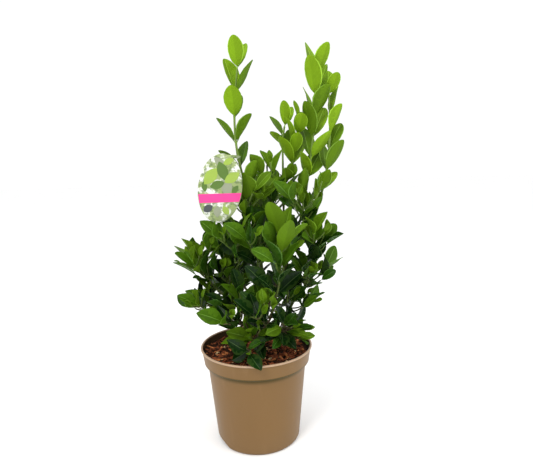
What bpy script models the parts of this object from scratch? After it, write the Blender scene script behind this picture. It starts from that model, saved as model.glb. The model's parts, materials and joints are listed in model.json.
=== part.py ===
"""Japanese spindle, a young evergreen shrub, standing in its nursery pot.

Lengths are metres, +Z is up and the origin is the middle of the pot's underside. -Y is the front. The stem
stands on the soil, the boughs leave it or each other, and each bough carries one mass of twigs and leaves.
"""

import math
import random
from collections import namedtuple

import bmesh
import bpy
from mathutils import Matrix, Vector
from mathutils.bvhtree import BVHTree

# Clearance between pieces that touch on the real plant, and the least angle of an edge that is drawn sharp.
GAP = 0.0003
SHARP_FROM = 40.0

# Pot: a thin plastic nursery pot, 19 cm across the rim.
POT_HEIGHT = 0.165
POT_WALL = 0.0016
POT_FLOOR = 0.0025
LIP_RADIUS = 0.0965
LIP_HEIGHT = 0.0030
LIP_UNDERCUT = 0.0010
LIP_ROUND = 0.0008
COLLAR_RADIUS = 0.0945
COLLAR_FOOT_RADIUS = 0.0912
COLLAR_HEIGHT = 0.0255
COLLAR_STEP = 0.0045
STEP_RISE = 0.0012
BODY_TOP_RADIUS = 0.0850
BODY_FOOT_RADIUS = 0.0722
BASE_RADIUS = 0.0675
BASE_ROUND = 0.0070
POT_SEGMENTS = 36
NOTCH_ANGLES = (-160.0, 20.0)
NOTCH_HEIGHT = 0.0100
NOTCH_WIDTH = 0.062
NOTCH_DEPTH = 0.0155
NOTCH_RADIUS = 0.0707
NOTCH_POINTS = 24

# Soil: fills the pot to a little below the rim.
SOIL_TOP = 0.1550
SOIL_CLEAR = 0.0006

# Stem and boughs.
TRUNK_FOOT = (0.003, 0.000, SOIL_TOP + GAP)
TRUNK_TOP = (0.013, 0.004, 0.262)
TRUNK_BEND = (0.003, -0.002, 0.0)
TRUNK_STATIONS = (0.0, 0.03, 0.08, 0.17, 0.34, 0.56, 0.78, 1.0)
TRUNK_FLARE = 0.0032
FLARE_SHARE = 0.06
TRUNK_RADIUS = 0.0056
TRUNK_TIP_RADIUS = 0.0042
TRUNK_SIDES = 10
LIMB_SIDES = 5
LIMB_RINGS = 6
LIMB_TO_PARENT = 0.62
LIMB_TIP_RADIUS = 0.0017
LEAST_BOUGH_RADIUS = 0.0019
LIMB_REACH = 0.70
LIMB_RISE = 0.32
FINE_POINTS = 700
CAP_GAP = 0.00035
TIP_LEAN = 0.45

# Twigs and leaves.
STEM_TIP_RADIUS = 0.0011
STEM_SIDES = 4
STEM_RINGS = 4
STEM_STRAIGHT = 0.45
TWIG_SIDES = 3
TWIG_RINGS = 4
TWIG_RADIUS = 0.0012
TWIG_LENGTH = (0.028, 0.042)
TWIG_ONWARD = 0.66
TWIG_SIDEWAYS = 0.70
TWIG_RISE = 0.16
TWIG_LEAN = (0.2, 0.4)
TWIGS_FROM = 0.15
TWIGS_TO = 0.65
TWIG_SHIFT = 0.05
TWIG_OFF_TURN = 45.0
TWIG_TURN_SHIFT = 20.0
TWIG_PAIRS = 2
TWIG_PAIRS_FROM = 0.55
TWIG_LEAF = 0.88
PAIRS_FROM = 0.10
PAIRS_TO = 0.995
BUD_LEAF = 0.5
BUD_SPREAD = 13.0
SEED = 860
LEAF_WIDTH = 0.50
LEAF_THICKNESS = 0.0012
LEAF_KEEL = 0.6
LEAF_ROOT_WIDTH = 0.0012
LEAF_DROOP = 0.07
LEAF_RISE = 0.58
RISE_FROM = 0.165
RISE_REACH = 0.070
LEAF_SECTIONS = ((0.30, 0.86), (0.68, 0.90))
LEAF_CLEAR = 0.0005
LIGHT_PULL = 1.25
LIGHT_LEAN = 0.5
LIGHT_FROM = (0.0, -0.6, 1.0)
FREE_FROM = 0.08
FREE_WIDTH = 0.55
ROOT_OUT = 0.0006
LEAF_TURN_SHIFT = 14.0
LEAF_SPREAD_SHIFT = 7.0
LEAF_SIZES = (0.86, 1.08)
REACH = 0.073
GOLDEN_TURN = 137.5

# Ways that a leaf is tried: more turn about the stem, more spread, and its share of the full length.
TRIES = (
    (0, 0, 1.0), (18, 6, 0.95), (-18, -6, 0.95), (34, 0, 0.85),
    (-34, 10, 0.85), (10, 22, 0.75), (-10, -14, 0.7),
)

# Tag: an oval plastic card that hangs from the left tall shoot by its strap.
TAG_CENTRE = (-0.049, -0.046, 0.437)
TAG_WIDTH = 0.069
TAG_HEIGHT = 0.108
TAG_THICKNESS = 0.0010
TAG_LEAN = 9.0
TAG_POINTS = 28
STRAP_WIDTH = 0.0050
STRAP_THICKNESS = 0.0010
STRAP_HEIGHT = 0.486
STRAP_BEND = 0.0026
STRAP_POINTS = 7
STRAP_HOOK = (-60, -20, 20, 60, 100, 140, 180, 215)

Limb = namedtuple("Limb", "path radii tree")
Leaf = namedtuple("Leaf", "root along normal length width")
Mass = namedtuple("Mass", "name parent at foot tip pairs leaf spread turn twigs")

# One row for each bough with its mass: the limb it leaves and how far along, where the bough ends and the
# mass begins, the tip of the mass's stem, its leaf pairs, leaf length, how far the lowest and the highest
# pair stand off the stem in degrees, the first pair's turn about the stem, and its side twigs.
MASS_ROWS = (
    ("left_tall", "trunk", 1.00, (-0.014, 0.005, 0.452),
     (-0.017, 0.005, 0.628), 5, 0.060, (38, 26), 70, 0),
    ("right_tall", "trunk", 0.72, (0.092, 0.008, 0.428),
     (0.111, 0.000, 0.614), 6, 0.062, (34, 18), 45, 0),
    ("right_outer", "right_tall", 0.50, (0.116, 0.010, 0.410),
     (0.133, 0.008, 0.584), 6, 0.060, (20, 13), 20, 0),
    ("right_inner", "right_tall", 0.84, (0.071, 0.016, 0.464),
     (0.084, 0.010, 0.536), 5, 0.056, (40, 22), 40, 0),
    ("centre", "right_tall", 0.32, (0.055, 0.020, 0.500),
     (0.059, 0.018, 0.536), 3, 0.043, (56, 30), 60, 0),
    ("upper_left", "left_tall", 0.55, (-0.005, -0.010, 0.368),
     (-0.005, -0.016, 0.436), 4, 0.050, (32, 18), 40, 3),
    ("left_upper", "left_tall", 0.36, (-0.020, -0.018, 0.322),
     (-0.027, -0.025, 0.362), 3, 0.052, (36, 23), 40, 3),
    ("upper_middle", "centre", 0.52, (0.039, 0.000, 0.386),
     (0.036, -0.004, 0.456), 4, 0.050, (32, 18), 50, 3),
    ("upper_right", "right_tall", 0.68, (0.080, -0.012, 0.366),
     (0.084, -0.014, 0.424), 4, 0.050, (35, 21), 30, 3),
    ("front_bright", "trunk", 0.70, (0.031, -0.056, 0.258),
     (0.043, -0.070, 0.358), 5, 0.060, (40, 18), 30, 1),
    ("middle_front", "left_tall", 0.16, (0.007, -0.030, 0.308),
     (0.010, -0.040, 0.358), 4, 0.054, (38, 23), 40, 3),
    ("right_side", "right_tall", 0.20, (0.090, -0.020, 0.306),
     (0.100, -0.020, 0.346), 4, 0.054, (38, 23), 60, 2),
    ("right_middle", "right_side", 0.45, (0.080, -0.012, 0.264),
     (0.091, -0.018, 0.286), 3, 0.052, (41, 26), 40, 3),
    ("right_low", "trunk", 0.52, (0.050, -0.020, 0.224),
     (0.064, -0.024, 0.242), 3, 0.050, (50, 32), 45, 3),
    ("right_rim", "trunk", 0.30, (0.036, -0.030, 0.196),
     (0.050, -0.042, 0.200), 3, 0.050, (58, 45), 30, 2),
    ("front_middle", "trunk", 0.60, (0.018, -0.050, 0.216),
     (0.016, -0.066, 0.246), 4, 0.056, (43, 26), 40, 3),
    ("front_left", "trunk", 0.44, (-0.017, -0.040, 0.214),
     (-0.035, -0.054, 0.238), 4, 0.054, (43, 26), 40, 3),
    ("front_low", "trunk", 0.18, (0.000, -0.036, 0.186),
     (-0.006, -0.056, 0.194), 4, 0.054, (67, 52), 45, 3),
    ("left_side", "trunk", 0.66, (-0.070, -0.010, 0.274),
     (-0.092, -0.014, 0.318), 4, 0.053, (36, 20), 55, 3),
    ("left_inner", "left_side", 0.55, (-0.044, 0.004, 0.258),
     (-0.048, 0.004, 0.298), 3, 0.052, (38, 23), 30, 3),
    ("left_low", "trunk", 0.36, (-0.058, -0.010, 0.220),
     (-0.084, -0.012, 0.246), 4, 0.048, (47, 29), 75, 3),
    ("inner_middle", "trunk", 0.84, (0.012, 0.030, 0.276),
     (0.010, 0.034, 0.326), 4, 0.052, (38, 23), 45, 3),
    ("back_left", "trunk", 0.74, (-0.030, 0.050, 0.276),
     (-0.043, 0.076, 0.324), 4, 0.054, (35, 21), 35, 3),
    ("back_right", "trunk", 0.58, (0.050, 0.056, 0.290),
     (0.070, 0.078, 0.340), 4, 0.054, (35, 21), 60, 3),
    ("back_middle", "left_tall", 0.28, (0.014, 0.048, 0.350),
     (0.018, 0.060, 0.424), 4, 0.054, (35, 20), 40, 3),
    ("back_low_left", "trunk", 0.40, (-0.026, 0.046, 0.210),
     (-0.044, 0.080, 0.238), 4, 0.052, (44, 29), 55, 3),
    ("back_low_right", "trunk", 0.26, (0.030, 0.042, 0.202),
     (0.046, 0.076, 0.226), 4, 0.052, (44, 29), 40, 3),
)
MASSES = [Mass(*row) for row in MASS_ROWS]

# Surface colours, with roughness.
POT_COLOUR = ((0.36, 0.26, 0.16), 0.45)
SOIL_COLOUR = ((0.09, 0.035, 0.02), 0.95)
BARK_COLOUR = ((0.16, 0.13, 0.07), 0.80)
LEAF_COLOUR = ((0.10, 0.22, 0.02), 0.35)
TAG_COLOUR = ((0.85, 0.83, 0.80), 0.35)


def material(name, colour):
    """A plain Principled BSDF of one colour and roughness."""
    made = bpy.data.materials.new(name)
    made.use_nodes = True
    shader = made.node_tree.nodes["Principled BSDF"]
    shader.inputs["Base Color"].default_value = (*colour[0], 1.0)
    shader.inputs["Roughness"].default_value = colour[1]
    return made


def new_object(name, points, faces, surface=None):
    """A mesh object in the scene, with its faces turned outwards and shaded round."""
    mesh = bpy.data.meshes.new(name)
    mesh.from_pydata(points, [], faces)
    shell = bmesh.new()
    shell.from_mesh(mesh)
    bmesh.ops.recalc_face_normals(shell, faces=shell.faces)
    shell.to_mesh(mesh)
    shell.free()
    mesh.shade_smooth()
    mesh.set_sharp_from_angle(angle=math.radians(SHARP_FROM))
    if surface:
        mesh.materials.append(surface)
    made = bpy.data.objects.new(name, mesh)
    bpy.context.scene.collection.objects.link(made)
    return made


def joined_rings(rings, closed_ends=True):
    """Points and faces of a skin through rings of equal count, with flat ends."""
    count = len(rings[0])
    points = [point for ring in rings for point in ring]
    faces = []
    for row in range(len(rings) - 1):
        low, high = row * count, (row + 1) * count
        for i in range(count):
            j = (i + 1) % count
            faces.append((low + i, low + j, high + j, high + i))
    if closed_ends:
        faces.append(tuple(reversed(range(count))))
        faces.append(tuple(range(len(points) - count, len(points))))
    return points, faces


def turned(profile, segments):
    """Points and faces of a solid turned about Z from an outline that starts and ends on the axis."""
    rings = []
    for radius, z in profile[1:-1]:
        turns = [2 * math.pi * i / segments for i in range(segments)]
        rings.append([Vector((radius * math.cos(a), radius * math.sin(a), z)) for a in turns])
    points, faces = joined_rings(rings, closed_ends=False)
    for (_, z), start in ((profile[0], 0), (profile[-1], len(points) - segments)):
        centre = len(points)
        points = points + [Vector((0.0, 0.0, z))]
        faces += [(start + i, start + (i + 1) % segments, centre) for i in range(segments)]
    return points, faces


def side_frame(along):
    """Two directions square to the given one, the first towards +X on an upright stem."""
    guide = Vector((1, 0, 0)) if abs(along.y) > 0.9 else Vector((0, 1, 0)).cross(along)
    across = (guide - along * guide.dot(along)).normalized()
    return across, along.cross(across)


def tube(path, radii, sides, first_along=None):
    """Points and faces of a round limb along a path; first_along squares its first end to a direction."""
    rings = []
    across = None
    for i, point in enumerate(path):
        along = (path[min(i + 1, len(path) - 1)] - path[max(i - 1, 0)]).normalized()
        if across is None:
            along = first_along or along
            across = side_frame(along)[0]
        across = (across - along * across.dot(along)).normalized()
        up = along.cross(across)
        turns = [2 * math.pi * k / sides for k in range(sides)]
        rings.append([point + (across * math.cos(a) + up * math.sin(a)) * radii[i] for a in turns])
    return joined_rings(rings)


def curve(start, lean, end, count):
    """Points on the quadratic curve that leaves start towards lean and arrives at end."""
    found = []
    for i in range(count):
        t = i / (count - 1)
        found.append(start * (1 - t) ** 2 + lean * (2 * t * (1 - t)) + end * t * t)
    return found


def on_path(path, share):
    """The point, the direction and the index at a share of the length of a path."""
    steps = [(b - a).length for a, b in zip(path, path[1:])]
    left = share * sum(steps)
    low = 0
    while low < len(steps) - 1 and left > steps[low]:
        left -= steps[low]
        low += 1
    along = (path[low + 1] - path[low]).normalized()
    return path[low] + along * left, along, low + left / steps[low]


def value_at(values, place):
    """The value at a fractional index of a list."""
    low = min(int(place), len(values) - 2)
    return values[low] + (values[low + 1] - values[low]) * (place - low)


def box_and_tree(points, faces):
    """The corners of a skin's box, and the skin as a search tree."""
    low = [min(p[k] for p in points) for k in range(3)]
    high = [max(p[k] for p in points) for k in range(3)]
    return low, high, BVHTree.FromPolygons(points, faces)


class Space:
    """What already stands in the scene, for telling whether a new piece is clear of it."""

    def __init__(self):
        self.taken = []

    def add(self, points, faces):
        self.taken.append(box_and_tree(points, faces))

    def clear(self, points, faces):
        low, high, tree = box_and_tree(points, faces)
        for other_low, other_high, other in self.taken:
            apart = any(low[k] > other_high[k] or high[k] < other_low[k] for k in range(3))
            if not apart and tree.overlap(other):
                return False
        return True

    def fill(self, name, points, faces):
        """Adds a limb that has to be clear of all the rest."""
        if not self.clear(points, faces):
            raise ValueError(f"{name} touches another piece")
        self.add(points, faces)


def inner_wall():
    """The pot's inner side from its floor up, as pairs of radius and height."""
    collar_foot = POT_HEIGHT - COLLAR_HEIGHT
    return [
        (BASE_RADIUS - POT_WALL, POT_FLOOR),
        (BODY_FOOT_RADIUS - POT_WALL, BASE_ROUND),
        (BODY_TOP_RADIUS - POT_WALL, collar_foot - COLLAR_STEP + STEP_RISE),
        (COLLAR_FOOT_RADIUS - POT_WALL, collar_foot + STEP_RISE),
        (COLLAR_RADIUS - POT_WALL, POT_HEIGHT),
    ]


def pot_profile():
    """The pot's outline, from the middle of its underside, up the outer side and down the inner one."""
    outer = [(0.0, 0.0), (BASE_RADIUS, 0.0)]
    for turn in (30, 60, 90):
        a = math.radians(turn)
        reach = BODY_FOOT_RADIUS - BASE_RADIUS
        outer.append((BASE_RADIUS + reach * math.sin(a), BASE_ROUND * (1 - math.cos(a))))
    collar_foot = POT_HEIGHT - COLLAR_HEIGHT
    lip_foot = POT_HEIGHT - LIP_HEIGHT
    outer += [
        (BODY_TOP_RADIUS, collar_foot - COLLAR_STEP),
        (COLLAR_FOOT_RADIUS, collar_foot),
        (COLLAR_RADIUS, lip_foot - LIP_UNDERCUT),
        (LIP_RADIUS, lip_foot),
        (LIP_RADIUS, POT_HEIGHT - LIP_ROUND),
        (LIP_RADIUS - LIP_ROUND, POT_HEIGHT),
    ]
    return outer + inner_wall()[::-1] + [(0.0, POT_FLOOR)]


def make_pot():
    """The pot, with arched drain notches cut in the foot of its wall."""
    points, faces = turned(pot_profile(), POT_SEGMENTS)
    pot = new_object("pot", points, faces, material("pot_plastic", POT_COLOUR))
    for i, turn in enumerate(NOTCH_ANGLES):
        bpy.ops.mesh.primitive_cylinder_add(vertices=NOTCH_POINTS, radius=1.0, depth=1.0)
        cutter = bpy.context.active_object
        cutter.name = f"notch_cutter_{i + 1}"
        cutter.scale = (NOTCH_HEIGHT, NOTCH_WIDTH / 2, NOTCH_DEPTH)
        angle = math.radians(turn)
        cutter.location = (NOTCH_RADIUS * math.cos(angle), NOTCH_RADIUS * math.sin(angle), 0.0)
        cutter.rotation_euler = (0.0, math.pi / 2, angle)
        cutter.hide_render = True
        cutter.display_type = "WIRE"
        cut = pot.modifiers.new(f"notch_{i + 1}", "BOOLEAN")
        cut.operation = "DIFFERENCE"
        cut.object = cutter
    return points, faces


def make_soil():
    """The soil, a plug that follows the pot's inner wall up to its flat top."""
    wall = inner_wall()
    (low, low_z), (high, high_z) = wall[-2:]
    top = low + (high - low) * (SOIL_TOP - low_z) / (high_z - low_z)
    floor = POT_FLOOR + GAP
    side = [(wall[0][0], floor), *wall[1:-1], (top, SOIL_TOP)]
    profile = [(0.0, floor), *((radius - SOIL_CLEAR, z) for radius, z in side), (0.0, SOIL_TOP)]
    points, faces = turned(profile, POT_SEGMENTS)
    new_object("soil", points, faces, material("bark_mulch", SOIL_COLOUR))
    return points, faces


def leaf_points(leaf, grow=0.0, start=0.0):
    """Points and faces of a folded leaf blade: flat above, keeled below, pointed at both ends.

    For clearance tests, grow thickens and widens it all round and start leaves off the part nearest its root.
    """
    across = leaf.along.cross(leaf.normal).normalized()

    def station(share):
        reach = leaf.length * share
        return leaf.root + leaf.along * reach - leaf.normal * (LEAF_DROOP * reach * share)

    sections = [(start, LEAF_ROOT_WIDTH / leaf.width if start == 0.0 else FREE_WIDTH)]
    sections += [s for s in LEAF_SECTIONS if s[0] > start]
    rings = []
    for share, broad in sections:
        centre = station(share)
        half = across * (leaf.width * broad / 2 + grow)
        lift = leaf.normal * (LEAF_THICKNESS * (1 - LEAF_KEEL) + grow)
        keel = leaf.normal * (LEAF_THICKNESS * LEAF_KEEL + grow)
        rings.append([centre - half + lift, centre - keel, centre + half + lift])
    points, faces = joined_rings(rings)
    faces.pop()
    tip = len(points)
    points.append(station(1.0) + leaf.along * grow)
    last = tip - 3
    faces += [(last, last + 1, tip), (last + 1, last + 2, tip), (last + 2, last, tip)]
    return points, faces


def leaf_at(root, stem_along, turn, spread, length):
    """A leaf that rises off a stem, more so higher up; it faces the stem, or the light if it lies level."""
    across, up = side_frame(stem_along)
    a, b = math.radians(turn), math.radians(spread)
    side = across * math.cos(a) + up * math.sin(a)
    along = stem_along * math.cos(b) + side * math.sin(b)
    rise = LEAF_RISE * max(0.0, min(1.0, (root.z - RISE_FROM) / RISE_REACH))
    along = (along + Vector((0, 0, rise * (1.0 - along.z)))).normalized()
    facing = stem_along * math.sin(b) - side * math.cos(b)
    facing = (facing - along * facing.dot(along)).normalized()
    level = min(1.0, LIGHT_PULL * (1.0 - abs(along.z)))
    light = Vector((root.x, root.y, 0)).normalized() * LIGHT_LEAN + Vector(LIGHT_FROM)
    light = (light - along * light.dot(along)).normalized()
    normal = (facing * (1.0 - level) + light * level).normalized()
    return Leaf(root + side * ROOT_OUT, along, normal, length, length * LEAF_WIDTH)


def within_reach(point, foot, tip):
    """Whether a point keeps to its mass's space, a capsule about the straight line of its stem."""
    line = tip - foot
    share = max(0.0, min(1.0, (point - foot).dot(line) / line.length_squared))
    return (point - foot - line * share).length < REACH


def grow_pair(root, stem_along, turn, spread, length, row, space, chance):
    """Two opposite leaves, each tried a few ways until it is clear of everything else."""
    grown = []
    foot, tip = Vector(row.foot), Vector(row.tip)
    for side in (0.0, 180.0):
        turned_by = turn + side + chance.uniform(-LEAF_TURN_SHIFT, LEAF_TURN_SHIFT)
        leaned_by = spread + chance.uniform(-LEAF_SPREAD_SHIFT, LEAF_SPREAD_SHIFT)
        size = length * chance.uniform(*LEAF_SIZES)
        for more_turn, more_spread, scale in TRIES:
            leaf = leaf_at(root, stem_along, turned_by + more_turn, leaned_by + more_spread, size * scale)
            if not within_reach(leaf.root + leaf.along * leaf.length, foot, tip):
                continue
            if space.clear(*leaf_points(leaf, LEAF_CLEAR, FREE_FROM)):
                space.add(*leaf_points(leaf, 0.0, FREE_FROM))
                grown.append(leaf)
                break
    return grown


def grow_leaves(path, pairs, first, row, turn, length, space, chance):
    """Pairs of leaves up a stem, each pair a quarter turn from the last."""
    grown = []
    for k in range(pairs):
        share = k / max(1, pairs - 1)
        root, along, _ = on_path(path, first + (PAIRS_TO - first) * share)
        spread = row.spread[0] + (row.spread[1] - row.spread[0]) * share
        grown += grow_pair(root, along, turn + 90.0 * k, spread, length, row, space, chance)
    return grown


def grow_stem(row, bough_path):
    """The path and the skin of a mass's main stem, which goes on from its bough's tip."""
    foot, tip = Vector(row.foot), Vector(row.tip)
    onward = (bough_path[-1] - bough_path[-2]).normalized()
    begin = foot + onward * GAP
    path = curve(begin, begin + onward * ((tip - foot).length * STEM_STRAIGHT), tip, STEM_RINGS)
    radii = even_taper(LIMB_TIP_RADIUS, STEM_TIP_RADIUS, STEM_RINGS)
    return path, tube(path, radii, STEM_SIDES, onward)


def grow_twig(path, share, turn, space, chance):
    """A side twig off a stem, or nothing where its way isn't clear."""
    root, along, _ = on_path(path, share)
    across, up = side_frame(along)
    a = math.radians(turn)
    side = across * math.cos(a) + up * math.sin(a)
    length = chance.uniform(*TWIG_LENGTH)
    lean = root + (along * TWIG_LEAN[0] + side * TWIG_LEAN[1]) * length
    end = root + (along * TWIG_ONWARD + side * TWIG_SIDEWAYS + Vector((0, 0, TWIG_RISE))) * length
    twig = curve(root, lean, end, TWIG_RINGS)
    radii = even_taper(TWIG_RADIUS, STEM_TIP_RADIUS, TWIG_RINGS)
    if not space.clear(*tube(twig[1:], [r + LEAF_CLEAR for r in radii[1:]], TWIG_SIDES)):
        return None, None
    space.add(*tube(twig[1:], radii[1:], TWIG_SIDES))
    return twig, tube(twig, radii, TWIG_SIDES)


def grow_mass(number, row, path, space):
    """The side twigs and the leaves of one mass, by a rule seeded with its number in the list."""
    chance = random.Random(SEED + number)
    twigs, leaves = [], []
    for j in range(row.twigs):
        share = TWIGS_FROM + (TWIGS_TO - TWIGS_FROM) * (j + 0.5) / row.twigs
        share += chance.uniform(-TWIG_SHIFT, TWIG_SHIFT)
        turn = row.turn + TWIG_OFF_TURN + GOLDEN_TURN * j
        turn += chance.uniform(-TWIG_TURN_SHIFT, TWIG_TURN_SHIFT)
        twig, skin = grow_twig(path, share, turn, space, chance)
        if twig is None:
            continue
        twigs.append(skin)
        small = row.leaf * TWIG_LEAF
        leaves += grow_leaves(twig, TWIG_PAIRS, TWIG_PAIRS_FROM, row, turn, small, space, chance)
    leaves += grow_leaves(path, row.pairs, PAIRS_FROM, row, row.turn, row.leaf, space, chance)
    root, along, _ = on_path(path, PAIRS_TO)
    bud_turn = row.turn + 90.0 * row.pairs
    leaves += grow_pair(root, along, bud_turn, BUD_SPREAD, row.leaf * BUD_LEAF, row, space, chance)
    return twigs, leaves


def even_taper(first, last, count):
    """Radii that fall evenly from the first to the last."""
    return [first + (last - first) * i / (count - 1) for i in range(count)]


def islands(mesh):
    """The groups of faces of a mesh that hang together, the smallest first."""
    left = set(mesh.faces)
    found = []
    while left:
        group = [left.pop()]
        for face in group:
            beside = {other for edge in face.edges for other in edge.link_faces} & left
            left -= beside
            group.extend(beside)
        found.append(group)
    return sorted(found, key=len)


def united(name, skins, surface):
    """One closed object from overlapping skins, by a single Boolean union on a collection."""
    others = bpy.data.collections.new(f"{name}_parts")
    bpy.context.scene.collection.children.link(others)
    whole = new_object(name, *skins[0], surface)
    for i, skin in enumerate(skins[1:]):
        piece = new_object(f"{name}_piece_{i + 1}", *skin)
        bpy.context.scene.collection.objects.unlink(piece)
        others.objects.link(piece)
    join = whole.modifiers.new("join", "BOOLEAN")
    join.operation = "UNION"
    join.operand_type = "COLLECTION"
    join.collection = others
    for solver in ("EXACT", "MANIFOLD"):
        join.solver = solver
        bpy.context.view_layer.update()
        evaluated = whole.evaluated_get(bpy.context.evaluated_depsgraph_get())
        fused = bpy.data.meshes.new_from_object(evaluated)
        shell = bmesh.new()
        shell.from_mesh(fused)
        if all(edge.is_manifold for edge in shell.edges):
            break
    hollows_and_scraps = [face for group in islands(shell)[:-1] for face in group]
    bmesh.ops.delete(shell, geom=hollows_and_scraps, context="FACES")
    shell.to_mesh(fused)
    shell.free()
    whole.modifiers.clear()
    whole.data = fused
    for piece in list(others.objects):
        bpy.data.objects.remove(piece)
    bpy.data.collections.remove(others)


def cap_is_clear(path, first, radius, tree):
    """Whether the flat end of a limb that begins at this point of its path stands off its parent's skin."""
    centre = path[first]
    along = (path[first + 1] - centre).normalized()
    across, up = side_frame(along)
    for k in range(2 * LIMB_SIDES):
        a = math.pi * k / LIMB_SIDES
        out = radius if k % 2 == 0 else radius * math.cos(math.pi / LIMB_SIDES)
        point = centre + (across * math.cos(a) + up * math.sin(a)) * out
        near, normal, _, far = tree.find_nearest(point)
        if (point - near).dot(normal) <= 0 or far < CAP_GAP:
            return False
    return True


def grow_bough(row, parent):
    """A bough from the side or the tip of the limb it leaves, to the foot of its mass."""
    begin, parent_along, place = on_path(parent.path, row.at)
    end = Vector(row.foot)
    across = end - begin
    first = 0
    if row.at == 1.0:
        radius = parent.radii[-1]
        begin = begin + parent_along * GAP
        fine = curve(begin, begin + parent_along * (across.length * TIP_LEAN), end, FINE_POINTS)
    else:
        radius = max(LEAST_BOUGH_RADIUS, value_at(parent.radii, place) * LIMB_TO_PARENT)
        lean = begin + Vector((across.x * LIMB_REACH, across.y * LIMB_REACH, across.z * LIMB_RISE))
        fine = curve(begin, lean, end, FINE_POINTS)
        while not cap_is_clear(fine, first, radius, parent.tree):
            first += 1
    fine = fine[first:]
    path = [on_path(fine, i / (LIMB_RINGS - 1))[0] for i in range(LIMB_RINGS)]
    radii = even_taper(radius, LIMB_TIP_RADIUS, LIMB_RINGS)
    first_along = parent_along if row.at == 1.0 else (fine[1] - fine[0]).normalized()
    points, faces = tube(path, radii, LIMB_SIDES, first_along)
    return Limb(path, radii, BVHTree.FromPolygons(points, faces)), points, faces


def make_trunk():
    """The short stem inside the crown: it flares at the soil, leans a little and tapers to its fork."""
    foot, top = Vector(TRUNK_FOOT), Vector(TRUNK_TOP)
    path, radii = [], []
    for share in TRUNK_STATIONS:
        path.append(foot.lerp(top, share) + Vector(TRUNK_BEND) * math.sin(math.pi * share))
        slim = TRUNK_RADIUS + (TRUNK_TIP_RADIUS - TRUNK_RADIUS) * share
        radii.append(slim + TRUNK_FLARE * math.exp(-share / FLARE_SHARE))
    points, faces = tube(path, radii, TRUNK_SIDES)
    points = [Vector((p.x, p.y, foot.z)) if i < TRUNK_SIDES else p for i, p in enumerate(points)]
    return Limb(path, radii, BVHTree.FromPolygons(points, faces)), points, faces


def make_card():
    """The tag's oval card, as rings of points on its two faces."""
    centre = Vector(TAG_CENTRE)
    lean = Matrix.Rotation(math.radians(TAG_LEAN), 3, "Y")
    rings = []
    for y in (-TAG_THICKNESS / 2, TAG_THICKNESS / 2):
        turns = [2 * math.pi * i / TAG_POINTS for i in range(TAG_POINTS)]
        flat = [Vector((TAG_WIDTH / 2 * math.cos(a), y, TAG_HEIGHT / 2 * math.sin(a))) for a in turns]
        rings.append([centre + lean @ point for point in flat])
    return joined_rings(rings)


def make_strap(stem_path):
    """The tag's strap: level from the top of the card to the stem, and hooked round it."""
    heights = [point.z for point in stem_path]
    above = next(i for i, z in enumerate(heights) if z > STRAP_HEIGHT)
    share = (STRAP_HEIGHT - heights[above - 1]) / (heights[above] - heights[above - 1])
    stem = stem_path[above - 1].lerp(stem_path[above], share)
    lean = Matrix.Rotation(math.radians(TAG_LEAN), 3, "Y")
    card_top = Vector(TAG_CENTRE) + lean @ Vector((0, 0, TAG_HEIGHT / 2))
    start = Vector((card_top.x - STRAP_WIDTH, card_top.y, STRAP_HEIGHT))
    hook = [math.radians(a) for a in STRAP_HOOK]
    turns = [Vector((math.cos(a), math.sin(a), 0)) * STRAP_BEND + stem for a in hook]
    corner = Vector((turns[0].x, start.y, STRAP_HEIGHT))
    route = curve(start, corner, turns[0], STRAP_POINTS) + turns[1:]
    route = [Vector((point.x, point.y, STRAP_HEIGHT)) for point in route]
    rings = []
    for i, point in enumerate(route):
        along = (route[min(i + 1, len(route) - 1)] - route[max(i - 1, 0)]).normalized()
        out = Vector((-along.y, along.x, 0)) * (STRAP_THICKNESS / 2)
        up = Vector((0, 0, STRAP_WIDTH / 2))
        rings.append([point - out - up, point + out - up, point + out + up, point - out + up])
    return joined_rings(rings)


def main():
    for leftover in list(bpy.data.objects):
        bpy.data.objects.remove(leftover)
    space = Space()
    space.add(*make_pot())
    space.add(*make_soil())

    bark = material("bark", BARK_COLOUR)
    leaf_green = material("leaf", LEAF_COLOUR)
    trunk, *trunk_skin = make_trunk()
    new_object("trunk", *trunk_skin, bark)
    space.fill("trunk", *trunk_skin)
    limbs = {"trunk": trunk}
    for row in MASSES:
        limbs[row.name], *skin = grow_bough(row, limbs[row.parent])
        new_object(f"{row.name}_bough", *skin, bark)
        space.fill(row.name, *skin)
    stems = {}
    for row in MASSES:
        stems[row.name] = grow_stem(row, limbs[row.name].path)
        space.fill(row.name, *stems[row.name][1])

    tag_skins = [make_card(), make_strap(stems["left_tall"][0])]
    united("tag", tag_skins, material("tag_card", TAG_COLOUR))
    for skin in tag_skins:
        space.add(*skin)

    for number, row in enumerate(MASSES):
        path, stem = stems[row.name]
        twigs, leaves = grow_mass(number, row, path, space)
        united(f"{row.name}_leaves", [stem, *twigs, *map(leaf_points, leaves)], leaf_green)


if __name__ == "__main__":
    main()
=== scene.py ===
"""Japanese spindle in its nursery pot: the visible model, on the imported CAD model.

Pot, soil, tag, stem and boughs lie where the CAD says. The leaves follow the CAD's rule of growth, and the
rule is carried on to finer twigs. Lengths are metres, +Z is up and -Y is the front. The file is laid out as
an add-on and is run as a script.
"""

import functools
import itertools
import json
import math
import random
from collections import namedtuple

import bmesh
import bpy
from bpy.props import FloatProperty, FloatVectorProperty, IntProperty, PointerProperty
from mathutils import Matrix, Vector, noise
from mathutils.bvhtree import BVHTree

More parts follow.
